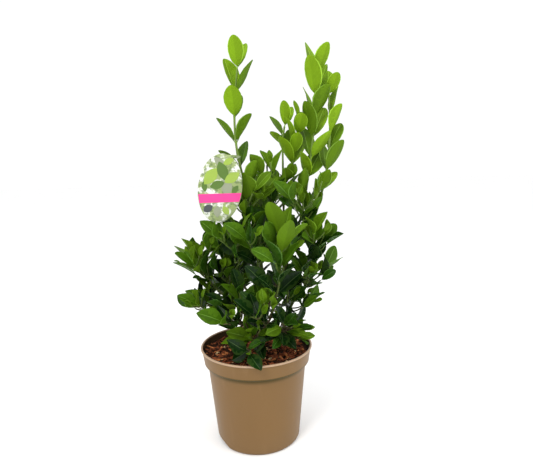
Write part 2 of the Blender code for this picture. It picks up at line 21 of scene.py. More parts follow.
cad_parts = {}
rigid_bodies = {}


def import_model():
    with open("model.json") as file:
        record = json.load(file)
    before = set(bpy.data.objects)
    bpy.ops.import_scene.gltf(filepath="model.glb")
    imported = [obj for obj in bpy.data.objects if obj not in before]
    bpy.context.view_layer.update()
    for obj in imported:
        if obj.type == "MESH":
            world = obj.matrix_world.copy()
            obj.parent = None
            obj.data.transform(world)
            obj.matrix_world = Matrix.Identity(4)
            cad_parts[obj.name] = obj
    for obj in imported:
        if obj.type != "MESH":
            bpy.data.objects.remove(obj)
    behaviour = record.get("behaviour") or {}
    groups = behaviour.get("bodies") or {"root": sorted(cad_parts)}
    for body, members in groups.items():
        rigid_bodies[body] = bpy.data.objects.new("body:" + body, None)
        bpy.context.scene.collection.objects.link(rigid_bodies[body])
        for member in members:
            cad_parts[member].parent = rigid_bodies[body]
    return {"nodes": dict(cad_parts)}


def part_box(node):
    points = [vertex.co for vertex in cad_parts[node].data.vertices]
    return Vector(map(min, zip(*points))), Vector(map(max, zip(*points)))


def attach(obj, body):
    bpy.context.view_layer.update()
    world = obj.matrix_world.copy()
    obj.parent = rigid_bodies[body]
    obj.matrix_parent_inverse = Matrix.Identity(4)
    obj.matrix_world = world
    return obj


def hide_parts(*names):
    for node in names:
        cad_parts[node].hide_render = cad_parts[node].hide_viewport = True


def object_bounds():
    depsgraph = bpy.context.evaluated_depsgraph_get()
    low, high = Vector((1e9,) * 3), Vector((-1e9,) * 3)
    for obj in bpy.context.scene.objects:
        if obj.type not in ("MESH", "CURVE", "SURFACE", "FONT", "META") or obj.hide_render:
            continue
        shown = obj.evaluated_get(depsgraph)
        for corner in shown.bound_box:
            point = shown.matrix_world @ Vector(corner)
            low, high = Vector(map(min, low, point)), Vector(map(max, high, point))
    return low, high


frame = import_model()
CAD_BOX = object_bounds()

bl_info = {
    "name": "Potted Spindle",
    "version": (1, 0, 0),
    "blender": (4, 5, 0),
    "location": "3D Viewport > Sidebar > Spindle",
    "description": "Dresses the packed model of a potted japanese spindle with detailed pieces and materials",
    "category": "Object",
}

# Pot.
POT_HEIGHT = 0.165
POT_WALL = 0.0016
POT_FLOOR = 0.0025
LIP_RADIUS = 0.0965
LIP_HEIGHT = 0.0030
COLLAR_RADIUS = 0.0945
COLLAR_FOOT_RADIUS = 0.0912
COLLAR_HEIGHT = 0.0255
COLLAR_STEP = 0.0045
BODY_TOP_RADIUS = 0.0850
BODY_FOOT_RADIUS = 0.0722
BASE_RADIUS = 0.0675
BASE_ROUND = 0.0070
NOTCH_ANGLES = (-160.0, 20.0)
NOTCH_HEIGHT = 0.0100
NOTCH_WIDTH = 0.062
NOTCH_DEPTH = 0.0155
NOTCH_RADIUS = 0.0707
NOTCH_SIDES = 96
SOIL_TOP = 0.1550

# Roundings and steps of the pot's outline, from the shelf under its collar up to its mouth, how far under the
# lip its painted highlight begins, and the angle in degrees past which an edge is sharp.
SHELF_ROUND = (0.0012, 0.0010)
COLLAR_ROUND = 0.0022
COLLAR_LIFT = 0.0004
COLLAR_EASE = (0.0002, 0.0030)
NECK_ROUND = 0.0006
MOUTH_ROUND = 0.0012
MOUTH_DROP = 0.0020
INNER_STEP = 0.0012
LIP_EDGE = 0.0002
POT_SHARP = 50.0

# The pot's tones: grime at its foot, painted shade under its collar and painted shade on the inner wall above
# the soil, each with how strong it is, how far it reaches and over what height or radius it fades. Its
# scuffs are rougher and dusty.
GRIME = (0.19, 0.115, 0.050)
GRIME_SHARE = 0.55
GRIME_REACH = 0.05
SHADE_SHARE = 0.95
SHADE_REACH = 0.0110
SHADE_FULL = 0.0050
SHADE_FADE = 0.0012
INNER_WALL_RADIUS = 0.0930
INNER_WALL_SHADE_SHARE = 0.85
INSIDE_FADE = 0.0010
WALL_FADE = 0.0001
SCUFF_ROUGHER = 0.2
SCUFF_LINES = (0.56, 0.70)
SCUFF_CLOUD = (0.45, 0.75)
SCUFF_STRETCH = (1.0, 1.0, 0.14)
DUST_TONE = (1.35, (0.03, 0.03, 0.03))

# Soil: the bed's rings and sides, its lumps as scale and height, how it drops and where its edge is, and the
# skirt under it. Chips keep off the wall and the stem, and out of hollows.
BED_RINGS = 26
BED_SIDES = 96
BED_LUMPS = ((55.0, 0.0022), (210.0, 0.0012))
BED_DROP = 0.0006
BED_EDGE = 0.99
SKIRT_DEPTH = 0.008
SKIRT_TAPER = 0.975
CHIPS_OFF_WALL = 0.0055
CHIPS_OFF_STEM = 0.008
CHIPS_LOWEST = SOIL_TOP - 0.006

# Chips: length, width and depth of each shape as shares of the chip length, how its sections differ, and the
# colours, each with the share in a hundred from which chips take it, and its roughness.
CHIP_SHAPES = (
    (1.0, 0.30, 0.16), (0.8, 0.42, 0.14), (0.6, 0.40, 0.20), (1.3, 0.16, 0.10), (0.7, 0.55, 0.16),
)
CHIP_SEED = 30
CHIP_STATIONS = 4
CHIP_BROAD = (0.75, 1.1)
CHIP_THICK = (0.7, 1.1)
CHIP_RIDGE = (0.6, 1.0)
CHIP_BELLY = 0.4
CHIP_SIDE = 0.2
CHIP_RIDGE_OFF = 0.1
CHIP_ASIDE = 0.12
CHIP_SHIFT = 0.05
TURN_SEED, SIZE_SEED, KIND_SEED, COLOUR_SEED = 11, 12, 13, 14
CHIP_COLOURS = (("chestnut", 0, 0.82), ("rust", 48, 0.80), ("umber", 62, 0.86), ("straw", 95, 0.80))

# Stem and boughs, as in the part's source.
GAP = 0.0003
TRUNK_FOOT = (0.003, 0.000, SOIL_TOP + GAP)
TRUNK_TOP = (0.013, 0.004, 0.262)
TRUNK_BEND = (0.003, -0.002, 0.0)
TRUNK_STATIONS = (0.0, 0.03, 0.08, 0.17, 0.34, 0.56, 0.78, 1.0)
TRUNK_FLARE = 0.0032
FLARE_SHARE = 0.06
TRUNK_RADIUS = 0.0056
TRUNK_TIP_RADIUS = 0.0042
TRUNK_SIDES = 10
LIMB_SIDES = 5
LIMB_RINGS = 6
LIMB_TO_PARENT = 0.62
LIMB_TIP_RADIUS = 0.0017
LEAST_BOUGH_RADIUS = 0.0019
LIMB_REACH = 0.70
LIMB_RISE = 0.32
FINE_POINTS = 700
CAP_GAP = 0.00035
TIP_LEAN = 0.45

# Twigs and leaves, as in the part's source.
STEM_TIP_RADIUS = 0.0011
STEM_SIDES = 4
STEM_RINGS = 4
STEM_STRAIGHT = 0.45
TWIG_SIDES = 3
TWIG_RINGS = 4
TWIG_RADIUS = 0.0012
TWIG_LENGTH = (0.028, 0.042)
TWIG_ONWARD = 0.66
TWIG_SIDEWAYS = 0.70
TWIG_RISE = 0.16
TWIG_LEAN = (0.2, 0.4)
TWIGS_FROM = 0.15
TWIGS_TO = 0.65
TWIG_SHIFT = 0.05
TWIG_OFF_TURN = 45.0
TWIG_TURN_SHIFT = 20.0
TWIG_PAIRS = 2
TWIG_PAIRS_FROM = 0.55
TWIG_LEAF = 0.88
PAIRS_FROM = 0.10
PAIRS_TO = 0.995
BUD_LEAF = 0.5
BUD_SPREAD = 13.0
SEED = 860
LEAF_WIDTH = 0.50
LEAF_THICKNESS = 0.0012
LEAF_KEEL = 0.6
LEAF_ROOT_WIDTH = 0.0012
LEAF_DROOP = 0.07
LEAF_RISE = 0.58
RISE_FROM = 0.165
RISE_REACH = 0.070
LEAF_SECTIONS = ((0.30, 0.86), (0.68, 0.90))
LEAF_CLEAR = 0.0005
LIGHT_PULL = 1.25
LIGHT_LEAN = 0.5
LIGHT_FROM = (0.0, -0.6, 1.0)
FREE_FROM = 0.08
FREE_WIDTH = 0.55
ROOT_OUT = 0.0006
LEAF_TURN_SHIFT = 14.0
LEAF_SPREAD_SHIFT = 7.0
LEAF_SIZES = (0.86, 1.08)
REACH = 0.073
GOLDEN_TURN = 137.5
TRIES = (
    (0, 0, 1.0), (18, 6, 0.95), (-18, -6, 0.95), (34, 0, 0.85),
    (-34, 10, 0.85), (10, 22, 0.75), (-10, -14, 0.7),
)

# Masses, each with what the Mass tuple names: the limb it leaves and where, its own stem's foot and tip, and
# its leaves, with their spread at the foot and at the tip and the first pair's turn in degrees.
MASS_ROWS = (
    ("left_tall", "trunk", 1.00, (-0.014, 0.005, 0.452),
     (-0.017, 0.005, 0.628), 5, 0.060, (38, 26), 70, 0),
    ("right_tall", "trunk", 0.72, (0.092, 0.008, 0.428),
     (0.111, 0.000, 0.614), 6, 0.062, (34, 18), 45, 0),
    ("right_outer", "right_tall", 0.50, (0.116, 0.010, 0.410),
     (0.133, 0.008, 0.584), 6, 0.060, (20, 13), 20, 0),
    ("right_inner", "right_tall", 0.84, (0.071, 0.016, 0.464),
     (0.084, 0.010, 0.536), 5, 0.056, (40, 22), 40, 0),
    ("centre", "right_tall", 0.32, (0.055, 0.020, 0.500),
     (0.059, 0.018, 0.536), 3, 0.043, (56, 30), 60, 0),
    ("upper_left", "left_tall", 0.55, (-0.005, -0.010, 0.368),
     (-0.005, -0.016, 0.436), 4, 0.050, (32, 18), 40, 3),
    ("left_upper", "left_tall", 0.36, (-0.020, -0.018, 0.322),
     (-0.027, -0.025, 0.362), 3, 0.052, (36, 23), 40, 3),
    ("upper_middle", "centre", 0.52, (0.039, 0.000, 0.386),
     (0.036, -0.004, 0.456), 4, 0.050, (32, 18), 50, 3),
    ("upper_right", "right_tall", 0.68, (0.080, -0.012, 0.366),
     (0.084, -0.014, 0.424), 4, 0.050, (35, 21), 30, 3),
    ("front_bright", "trunk", 0.70, (0.031, -0.056, 0.258),
     (0.043, -0.070, 0.358), 5, 0.060, (40, 18), 30, 1),
    ("middle_front", "left_tall", 0.16, (0.007, -0.030, 0.308),
     (0.010, -0.040, 0.358), 4, 0.054, (38, 23), 40, 3),
    ("right_side", "right_tall", 0.20, (0.090, -0.020, 0.306),
     (0.100, -0.020, 0.346), 4, 0.054, (38, 23), 60, 2),
    ("right_middle", "right_side", 0.45, (0.080, -0.012, 0.264),
     (0.091, -0.018, 0.286), 3, 0.052, (41, 26), 40, 3),
    ("right_low", "trunk", 0.52, (0.050, -0.020, 0.224),
     (0.064, -0.024, 0.242), 3, 0.050, (50, 32), 45, 3),
    ("right_rim", "trunk", 0.30, (0.036, -0.030, 0.196),
     (0.050, -0.042, 0.200), 3, 0.050, (58, 45), 30, 2),
    ("front_middle", "trunk", 0.60, (0.018, -0.050, 0.216),
     (0.016, -0.066, 0.246), 4, 0.056, (43, 26), 40, 3),
    ("front_left", "trunk", 0.44, (-0.017, -0.040, 0.214),
     (-0.035, -0.054, 0.238), 4, 0.054, (43, 26), 40, 3),
    ("front_low", "trunk", 0.18, (0.000, -0.036, 0.186),
     (-0.006, -0.056, 0.194), 4, 0.054, (67, 52), 45, 3),
    ("left_side", "trunk", 0.66, (-0.070, -0.010, 0.274),
     (-0.092, -0.014, 0.318), 4, 0.053, (36, 20), 55, 3),
    ("left_inner", "left_side", 0.55, (-0.044, 0.004, 0.258),
     (-0.048, 0.004, 0.298), 3, 0.052, (38, 23), 30, 3),
    ("left_low", "trunk", 0.36, (-0.058, -0.010, 0.220),
     (-0.084, -0.012, 0.246), 4, 0.048, (47, 29), 75, 3),
    ("inner_middle", "trunk", 0.84, (0.012, 0.030, 0.276),
     (0.010, 0.034, 0.326), 4, 0.052, (38, 23), 45, 3),
    ("back_left", "trunk", 0.74, (-0.030, 0.050, 0.276),
     (-0.043, 0.076, 0.324), 4, 0.054, (35, 21), 35, 3),
    ("back_right", "trunk", 0.58, (0.050, 0.056, 0.290),
     (0.070, 0.078, 0.340), 4, 0.054, (35, 21), 60, 3),
    ("back_middle", "left_tall", 0.28, (0.014, 0.048, 0.350),
     (0.018, 0.060, 0.424), 4, 0.054, (35, 20), 40, 3),
    ("back_low_left", "trunk", 0.40, (-0.026, 0.046, 0.210),
     (-0.044, 0.080, 0.238), 4, 0.052, (44, 29), 55, 3),
    ("back_low_right", "trunk", 0.26, (0.030, 0.042, 0.202),
     (0.046, 0.076, 0.226), 4, 0.052, (44, 29), 40, 3),
)

# The growth that goes further than the source: finer twigs with smaller leaves.
FINER_SEED = 4100
CELL = 0.04
FINER_TWIGS = 6
FINER_TWIGS_LOW = 11
FINER_REACH = 0.052
FINER_LENGTH = (0.018, 0.034)
FINER_FROM = 0.05
FINER_TO = 0.92
FINER_LEAF = 0.86
FINER_LEAF_UPPER = 0.98
FINER_BUD = 0.42
FINER_PAIRS_FROM = 0.35
SIDE_SHOOT_LENGTH = (0.014, 0.024)
FINER_PAIRS = 2
SIDE_SHOOT_PAIRS = 1
AXIL_ABOVE = 0.04
AXIL_LEAF = 0.34
AXIL_SPREAD = 30.0
LEAST_ROOT_HEIGHT = SOIL_TOP + 0.012

# How limbs are drawn: how much and how far a fork swells, how thick a bough is where it leaves its parent and
# just outside it, the steps along limbs and shoots, and how deep each kind's ridges are.
FORK_SWELL = 0.35
FORK_REACH = 0.03
ROOT_GIRTH = 1.15
FORK_GIRTH = 1.35
FORK_AT = 0.6
LIMB_STEP = 0.0035
LEAST_STEPS = 12
LIMB_SHARP = 60.0
TRUNK_STEPS = 60
TRUNK_SUNK = 0.0025
TRUNK_RIDGES = 1.6
BOUGH_RIDGES = 0.9
SHOOT_RIDGES = 0.35
SHOOT_SIDES = 7
SHOOT_STEPS = 5
SHOOT_GIRTH = 1.05
TALL_SHOOT_GIRTH = 1.35
NODE_SWELL = 0.12
NODES_ON_SHOOT = 5
NODE_POWER = 8

# How green a limb is: from which height on and over what reach, and how much more toward its end. Bark turns
# green, and green wood pale, between two values each. Green wood is less rough. Ridges and grain are drawn
# out along Z, and all the wood has pale pores.
GREEN_FROM = 0.20
GREEN_REACH = 0.20
GREEN_ALONG = 0.25
SHOOT_GREEN = 0.6
BARK_TO_GREEN = (0.75, 1.15)
GREEN_TO_PALE = (1.2, 1.8)
BARK_ROUGHNESS = (0.85, 0.5)
GRAIN_STRETCH = (1.0, 1.0, 0.2)
RIDGE_STRETCH = (1.0, 1.0, 0.22)
PORE_SIZE = (0.10, 0.22)
PORE_SHARE = 0.55
PORE_TONE = (2.2, (0.05, 0.05, 0.05))

# Which masses the leaf pieces take, and how ripe their leaves are, from 0 pale to 1 dark: the middle of a
# stem, give or take, and how much riper its base is than its tip. From a height on downwards, over a reach,
# they are darker still, most of all inside the crown: partly older leaves, partly painted shade. A few masses
# are made paler as painted light, for leaves that lie in shade.
TALL = ("left_tall", "right_tall", "right_outer", "right_inner", "centre")
UPPER = (
    "upper_left", "left_upper", "upper_middle", "upper_right", "front_bright", "middle_front",
    "right_side", "back_middle",
)
FRONT = (
    "right_middle", "right_low", "right_rim", "front_middle", "front_left", "front_low",
    "left_side", "left_inner", "left_low", "inner_middle",
)
BACK = ("back_left", "back_right", "back_low_left", "back_low_right")
ZONES = {"leaves_tall": TALL, "leaves_upper": UPPER, "leaves_front": FRONT, "leaves_back": BACK}
RIPENESS = {
    "leaves_tall": (0.06, 0.30, 0.30), "leaves_upper": (0.16, 0.19, 0.90),
    "leaves_front": (0.27, 0.40, 0.90), "leaves_back": (0.32, 0.40, 0.90),
}
# Masses whose leaves are made paler: painted light on leaves that lie in shade or face away from the light.
PALER_AS_PAINTED_LIGHT = {"left_side": 0.38, "left_low": 0.12, "upper_left": 0.08, "back_middle": 0.08}
SMALL_LEAF = 0.030
SMALL_PALER = 0.10
LOW_FROM = 0.415
LOW_REACH = 0.11
LOW_RIPER_AND_SHADE = 0.26
INSIDE_RIPER_AND_SHADE = 0.30
CROWN_AXIS_X = 0.015
INSIDE_REACH = 0.09

# Each tint's roughness and coat on the upper side, and the ripeness from which a tall shoot's leaf is young
# or middling. Elsewhere each tint takes an equal step of ripeness. The tones of ribs, undersides, veins and
# the painted shade on one half of the blade are made from the tint's colour by a scale and a lift.
TINTS = {
    "shoot": (0.52, 0.0), "young": (0.46, 0.0), "middle": (0.36, 0.0), "mature": (0.24, 0.16),
    "deep": (0.24, 0.14),
}
TALL_YOUNG = 0.14
TALL_MIDDLE = 0.42
RIPE_STEPS = 4
POINTED_SHARE = 0.75
RIB_TONE = (1.6, (0.030, 0.045, 0.008))
UNDER_TONE = (1.1, (0.012, 0.018, 0.002))
VEIN_TONE = (1.5, (0.02, 0.02, 0.02))
# The blade's painted shade: the tone of its shaded half, how strongly it is mixed in, and where it begins.
HALF_SHADE_TONE = (0.4, (0.0, 0.0, 0.0))
HALF_SHADE_SHARE = 0.26
HALF_SHADE_EDGES = (0.46, 0.54)
VEIN_FADE = (0.30, 0.47)

# Patches of every mottled finish: where they begin and end in the noise, and how far they turn roughness.
PATCH_EDGES = (0.3, 0.7)
ROUGH_SHIFT = 0.05
LEAF_ROUGH_SHIFT = 0.06

# A leaf blade of length and width 1: stations along it, places across it, where its stalk ends, how deep its
# midrib is sunk, and how its edges lift and wave. Its faces are marked as upper side, rib or underside; the
# margins are marked as rib, pale partly as the leaf's own edge and partly as a painted highlight.
BLADE_STATIONS = (0.0, 0.10, 0.20, 0.34, 0.52, 0.69, 0.82, 0.92, 0.98)
BLADE_ACROSS = (-1.0, -0.885, -0.040, 0.040, 0.885, 1.0)
STALK_END = 0.1
STALK_WIDTH = 0.05
BLADE_THICKNESS = 0.010
RIB_SINK = 0.006
LIFT_POWER = 1.5
WAVE_RATE = 9.0
WAVE_STARTS = (2.4, 1.0)
UPSIDE, RIB, UNDERSIDE = 0, 1, 2
RIB_AND_LIT_EDGE_STRIPS = (0, 2, 4)

# The scales tried for a leaf whose blade would cut the card or a limb, and what the point of a leaf carries.
CLEAR_SCALES = (1.0, 0.9, 0.8, 0.7, 0.6, 0.5)
LEAF_ATTRIBUTES = (("turned", "QUATERNION"), ("size", "FLOAT_VECTOR"), ("kind", "INT"), ("tint", "INT"))

# Kinds of blade: how blunt it is, where it is broadest, how far its edges lift, its tip droops, it bends
# sideways, twists in degrees and waves.
BLUNT_KINDS = (
    (0.54, 1.10, 0.060, 0.06, 0.00, 0.0, 0.004),
    (0.58, 1.15, 0.020, 0.12, 0.03, 10.0, 0.010),
    (0.56, 1.05, 0.095, 0.02, -0.03, -11.0, 0.012),
)
POINTED_KINDS = (
    (0.88, 0.98, 0.150, 0.10, 0.02, 8.0, 0.014),
    (0.80, 1.04, 0.100, 0.16, -0.03, -10.0, 0.016),
    (0.94, 0.94, 0.180, 0.04, 0.04, 16.0, 0.020),
    (0.84, 1.00, 0.060, 0.22, -0.03, -16.0, 0.014),
)

# Tag: its card, and its strap with the angles of the hook round the stem.
TAG_CENTRE = (-0.049, -0.046, 0.437)
TAG_WIDTH = 0.069
TAG_HEIGHT = 0.108
TAG_LEAN = 9.0
STRAP_WIDTH = 0.0050
STRAP_HEIGHT = 0.486
STRAP_BEND = 0.0026
STRAP_HOOK = (-60, -20, 20, 60, 100, 140, 180, 215)
STRAP_HALF_THICKNESS = 0.00032
STRAP_SHOULDER = 0.86
STRAP_STEPS = 14
HOOK_STEPS = 3
CARD_SIDES = 96
CARD_RINGS = (0.2, 0.4, 0.6, 0.8, 0.985)
CARD_EDGE = 0.996
CARD_ROUGHNESS = 0.34

# The card's print: its inks, the band's top, foot and slope, and each leaf shape's ink, middle, length,
# width and turn. The last number of each is how far it lies proud of the card.
INKS = {
    "lime": (0.30, 0.43, 0.060), "leaf": (0.085, 0.165, 0.022), "sage": (0.27, 0.30, 0.20),
    "slate": (0.050, 0.060, 0.065),
}
BAND = (-0.0080, -0.0220, 0.16, 0.00034)
BAND_STATIONS = 24
BAND_END = 0.985
CLOUD_EDGES = (0.40, 0.50)
CLOUD_SHARE = 0.95
DARK_EDGES = (0.50, 0.60)
DARK_SHARE = 0.75
PRINT_STATIONS = 10
PRINT_BLUNT = 0.8
PRINT_LEAST = 0.02
PRINT_SUNK = 0.00015
LEAF_PRINTS = (
    ("sage", (0.0100, 0.0040), 0.030, 0.017, 100, 0.00018),
    ("leaf", (-0.0245, 0.0000), 0.017, 0.009, 105, 0.00018),
    ("sage", (-0.0060, 0.0410), 0.020, 0.011, 150, 0.00018),
    ("leaf", (0.0235, 0.0010), 0.016, 0.009, 60, 0.00020),
    ("leaf", (-0.0050, 0.0050), 0.024, 0.013, 25, 0.00022),
    ("lime", (-0.0165, 0.0170), 0.032, 0.018, 58, 0.00024),
    ("lime", (0.0080, 0.0430), 0.018, 0.010, 35, 0.00020),
    ("leaf", (0.0010, 0.0270), 0.032, 0.017, 118, 0.00027),
    ("lime", (0.0165, 0.0190), 0.028, 0.015, 40, 0.00030),
    ("slate", (-0.0150, -0.0335), 0.017, 0.012, 40, 0.00018),
    ("sage", (0.0000, -0.0365), 0.018, 0.012, 95, 0.00020),
    ("lime", (0.0130, -0.0330), 0.016, 0.010, 130, 0.00018),
)

# Stage: the floor's reach, the sine of the height from which the sky is brightest, the camera's place and its
# turn in degrees, and each light's place, aim and size.
FLOOR_REACH = 30.0
DOME_TOP = 0.9
SENSOR_WIDTH = 36.0
CAMERA_AT = (0.0, -0.74, 0.455)
CAMERA_YAW = 1.78
CAMERA_PITCH = 7.55
CAMERA_ROLL = -1.61
KEY_LIGHT = ((-0.9, -1.5, 2.1), (0.0, 0.0, 0.35), 0.8)
KEY_COLOUR = (1.0, 0.99, 0.97)
FILL_LIGHT = ((1.6, -0.9, 1.2), (0.0, 0.0, 0.3), 1.2)
FILL_COLOUR = (0.96, 0.98, 1.0)

# Node sockets: the type of a group's socket by the type of its value, and where a Random Value node takes
# its limits and gives its value.
SOCKETS = {float: "NodeSocketFloat", int: "NodeSocketInt", tuple: "NodeSocketColor"}
RANDOM_SOCKETS = {"FLOAT_VECTOR": (0, 1, 0), "FLOAT": (2, 3, 1), "INT": (4, 5, 2)}

Mass = namedtuple("Mass", "name parent at foot tip pairs leaf spread turn twigs")
Limb = namedtuple("Limb", "path radii tree fine root")
Leaf = namedtuple("Leaf", "root along normal length width")
Sprig = namedtuple("Sprig", "mass leaf share")
Shoot = namedtuple("Shoot", "mass path first last")
MASSES = [Mass(*row) for row in MASS_ROWS]


# Points, faces and paths.
def linked(name, data):
    """An object with a mesh, a light or a camera as its data, linked to the scene."""
    made = bpy.data.objects.new(name, data)
    bpy.context.scene.collection.objects.link(made)
    return made


def finish_faces(mesh, sharp):
    """Turns a mesh's faces outwards and shades it round, but for edges past an angle in degrees."""
    shell = bmesh.new()
    shell.from_mesh(mesh)
    bmesh.ops.recalc_face_normals(shell, faces=shell.faces)
    shell.to_mesh(mesh)
    shell.free()
    mesh.shade_smooth()
    mesh.set_sharp_from_angle(angle=math.radians(sharp))


def new_object(name, points, faces, surfaces=(), sharp=40.0):
    """A mesh object in the scene, with its faces turned outwards and shaded round."""
    mesh = bpy.data.meshes.new(name)
    mesh.from_pydata(points, [], faces)
    finish_faces(mesh, sharp)
    for surface in surfaces:
        mesh.materials.append(surface)
    return linked(name, mesh)


def kept_mesh(piece):
    """Keeps what an object's modifiers make as its plain mesh, and removes them."""
    bpy.context.view_layer.update()
    evaluated = piece.evaluated_get(bpy.context.evaluated_depsgraph_get())
    made = bpy.data.meshes.new_from_object(evaluated)
    piece.modifiers.clear()
    piece.data = made
    return made


def hidden_shapes(name, shapes):
    """A collection for shapes that a tree scatters, taken out of the scene's own collection."""
    scene = bpy.context.scene
    held = bpy.data.collections.new(name)
    scene.collection.children.link(held)
    for shape in shapes:
        scene.collection.objects.unlink(shape)
        held.objects.link(shape)
    return held


def discard(held):
    """Removes a collection and the shapes in it."""
    for shape in list(held.objects):
        bpy.data.objects.remove(shape)
    bpy.data.collections.remove(held)


def clamp(value, low=0.0, high=1.0):
    """A value held between two limits."""
    return max(low, min(high, value))


def round_turns(count):
    """The angles of evenly spaced points on a circle."""
    return [2 * math.pi * i / count for i in range(count)]


def towards(across, up, turn):
    """The direction at an angle between two directions that are square to each other."""
    return across * math.cos(turn) + up * math.sin(turn)


def joined_rings(rings, closed_ends=True):
    """Points and faces of a skin through rings of equal count, with flat ends."""
    count = len(rings[0])
    points = [point for ring in rings for point in ring]
    faces = []
    for row in range(len(rings) - 1):
        low, high = row * count, (row + 1) * count
        for i in range(count):
            j = (i + 1) % count
            faces.append((low + i, low + j, high + j, high + i))
    if closed_ends:
        faces.append(tuple(reversed(range(count))))
        faces.append(tuple(range(len(points) - count, len(points))))
    return points, faces


def turned(profile, segments):
    """Points and faces of a solid turned about Z from an outline that starts and ends on the axis."""
    rings = []
    for radius, z in profile[1:-1]:
        rings.append([Vector((radius * math.cos(a), radius * math.sin(a), z)) for a in round_turns(segments)])
    points, faces = joined_rings(rings, closed_ends=False)
    for (_, z), start in ((profile[0], 0), (profile[-1], len(points) - segments)):
        centre = len(points)
        points = points + [Vector((0.0, 0.0, z))]
        faces += [(start + i, start + (i + 1) % segments, centre) for i in range(segments)]
    return points, faces


def side_frame(along):
    """Two directions square to the given one, the first towards +X on an upright stem."""
    guide = Vector((1, 0, 0)) if abs(along.y) > 0.9 else Vector((0, 1, 0)).cross(along)
    across = (guide - along * guide.dot(along)).normalized()
    return across, along.cross(across)


def tube(path, radii, sides, first_along=None):
    """Points and faces of a round limb along a path; first_along squares its first end to a direction."""
    rings = []
    across = None
    for i, point in enumerate(path):
        along = (path[min(i + 1, len(path) - 1)] - path[max(i - 1, 0)]).normalized()
        if across is None:
            along = first_along or along
            across = side_frame(along)[0]
        across = (across - along * across.dot(along)).normalized()
        up = along.cross(across)
        rings.append([point + towards(across, up, a) * radii[i] for a in round_turns(sides)])
    return joined_rings(rings)


def curve(start, lean, end, count):
    """Points on the quadratic curve that leaves start towards lean and arrives at end."""
    found = []
    for i in range(count):
        t = i / (count - 1)
        found.append(start * (1 - t) ** 2 + lean * (2 * t * (1 - t)) + end * t * t)
    return found


def on_path(path, share):
    """The point, the direction and the index at a share of the length of a path."""
    steps = [(b - a).length for a, b in zip(path, path[1:])]
    left = share * sum(steps)
    low = 0
    while low < len(steps) - 1 and left > steps[low]:
        left -= steps[low]
        low += 1
    along = (path[low + 1] - path[low]).normalized()
    return path[low] + along * left, along, low + left / steps[low]


def value_at(values, place):
    """The value at a fractional index of a list."""
    low = min(int(place), len(values) - 2)
    return values[low] + (values[low + 1] - values[low]) * (place - low)


def even_taper(first, last, count):
    """Radii that fall evenly from the first to the last."""
    return [first + (last - first) * i / (count - 1) for i in range(count)]


def rounded_path(path, per_step):
    """A smooth line through the points of a path."""
    ends = [path[0] * 2 - path[1], *path, path[-1] * 2 - path[-2]]
    found = []
    for a, b, c, d in zip(ends, ends[1:], ends[2:], ends[3:]):
        for k in range(per_step):
            t = k / per_step
            found.append(0.5 * (2 * b + (c - a) * t + (2 * a - 5 * b + 4 * c - d) * t * t
                                + (3 * b - a - 3 * c + d) * t ** 3))
    return found + [path[-1]]


# Growth.
class Space:
    """What already stands in the plant, kept by cells, for telling whether a new piece is clear of it."""

    def __init__(self):
        self.cells = {}

    def spans(self, points):
        """The lowest and highest corners of a set of points, and the cells between them."""
        low = [min(p[k] for p in points) for k in range(3)]
        high = [max(p[k] for p in points) for k in range(3)]
        ranges = [range(int(low[k] // CELL), int(high[k] // CELL) + 1) for k in range(3)]
        return low, high, itertools.product(*ranges)

    def add(self, points, faces):
        """Takes a skin as room that is taken."""
        low, high, cells = self.spans(points)
        entry = low, high, BVHTree.FromPolygons(points, faces)
        for cell in cells:
            self.cells.setdefault(cell, []).append(entry)

    def clear(self, points, faces):
        """Whether a skin touches nothing that stands."""
        low, high, cells = self.spans(points)
        tree = BVHTree.FromPolygons(points, faces)
        for cell in cells:
            for other_low, other_high, other in self.cells.get(cell, ()):
                apart = any(low[k] > other_high[k] or high[k] < other_low[k] for k in range(3))
                if not apart and tree.overlap(other):
                    return False
        return True


def leaf_points(leaf, grow=0.0, start=0.0):
    """Points and faces of a leaf's plain folded blade, for telling whether a leaf is clear of the rest."""
    across = leaf.along.cross(leaf.normal).normalized()

    def station(share):
        """A point on the blade's middle line."""
        reach = leaf.length * share
        return leaf.root + leaf.along * reach - leaf.normal * (LEAF_DROOP * reach * share)

    sections = [(start, LEAF_ROOT_WIDTH / leaf.width if start == 0.0 else FREE_WIDTH)]
    sections += [s for s in LEAF_SECTIONS if s[0] > start]
    rings = []
    for share, broad in sections:
        centre = station(share)
        half = across * (leaf.width * broad / 2 + grow)
        lift = leaf.normal * (LEAF_THICKNESS * (1 - LEAF_KEEL) + grow)
        keel = leaf.normal * (LEAF_THICKNESS * LEAF_KEEL + grow)
        rings.append([centre - half + lift, centre - keel, centre + half + lift])
    points, faces = joined_rings(rings)
    faces.pop()
    tip = len(points)
    points.append(station(1.0) + leaf.along * grow)
    last = tip - 3
    faces += [(last, last + 1, tip), (last + 1, last + 2, tip), (last + 2, last, tip)]
    return points, faces


def leaf_at(root, stem_along, turn, spread, length):
    """A leaf that rises off a stem, more so higher up; it faces the stem, or the light if it lies level."""
    across, up = side_frame(stem_along)
    side = towards(across, up, math.radians(turn))
    b = math.radians(spread)
    along = stem_along * math.cos(b) + side * math.sin(b)
    rise = LEAF_RISE * clamp((root.z - RISE_FROM) / RISE_REACH)
    along = (along + Vector((0, 0, rise * (1.0 - along.z)))).normalized()
    facing = stem_along * math.sin(b) - side * math.cos(b)
    facing = (facing - along * facing.dot(along)).normalized()
    level = min(1.0, LIGHT_PULL * (1.0 - abs(along.z)))
    light = Vector((root.x, root.y, 0)).normalized() * LIGHT_LEAN + Vector(LIGHT_FROM)
    light = (light - along * light.dot(along)).normalized()
    normal = (facing * (1.0 - level) + light * level).normalized()
    return Leaf(root + side * ROOT_OUT, along, normal, length, length * LEAF_WIDTH)


def within_reach(point, foot, tip, reach):
    """Whether a point keeps to its mass's space, a capsule about the straight line of its stem."""
    line = tip - foot
    share = clamp((point - foot).dot(line) / line.length_squared)
    return (point - foot - line * share).length < reach


def in_cad_box(point):
    """Whether a point is inside the CAD model's box."""
    low, high = CAD_BOX
    return all(low[k] < point[k] < high[k] for k in range(3))


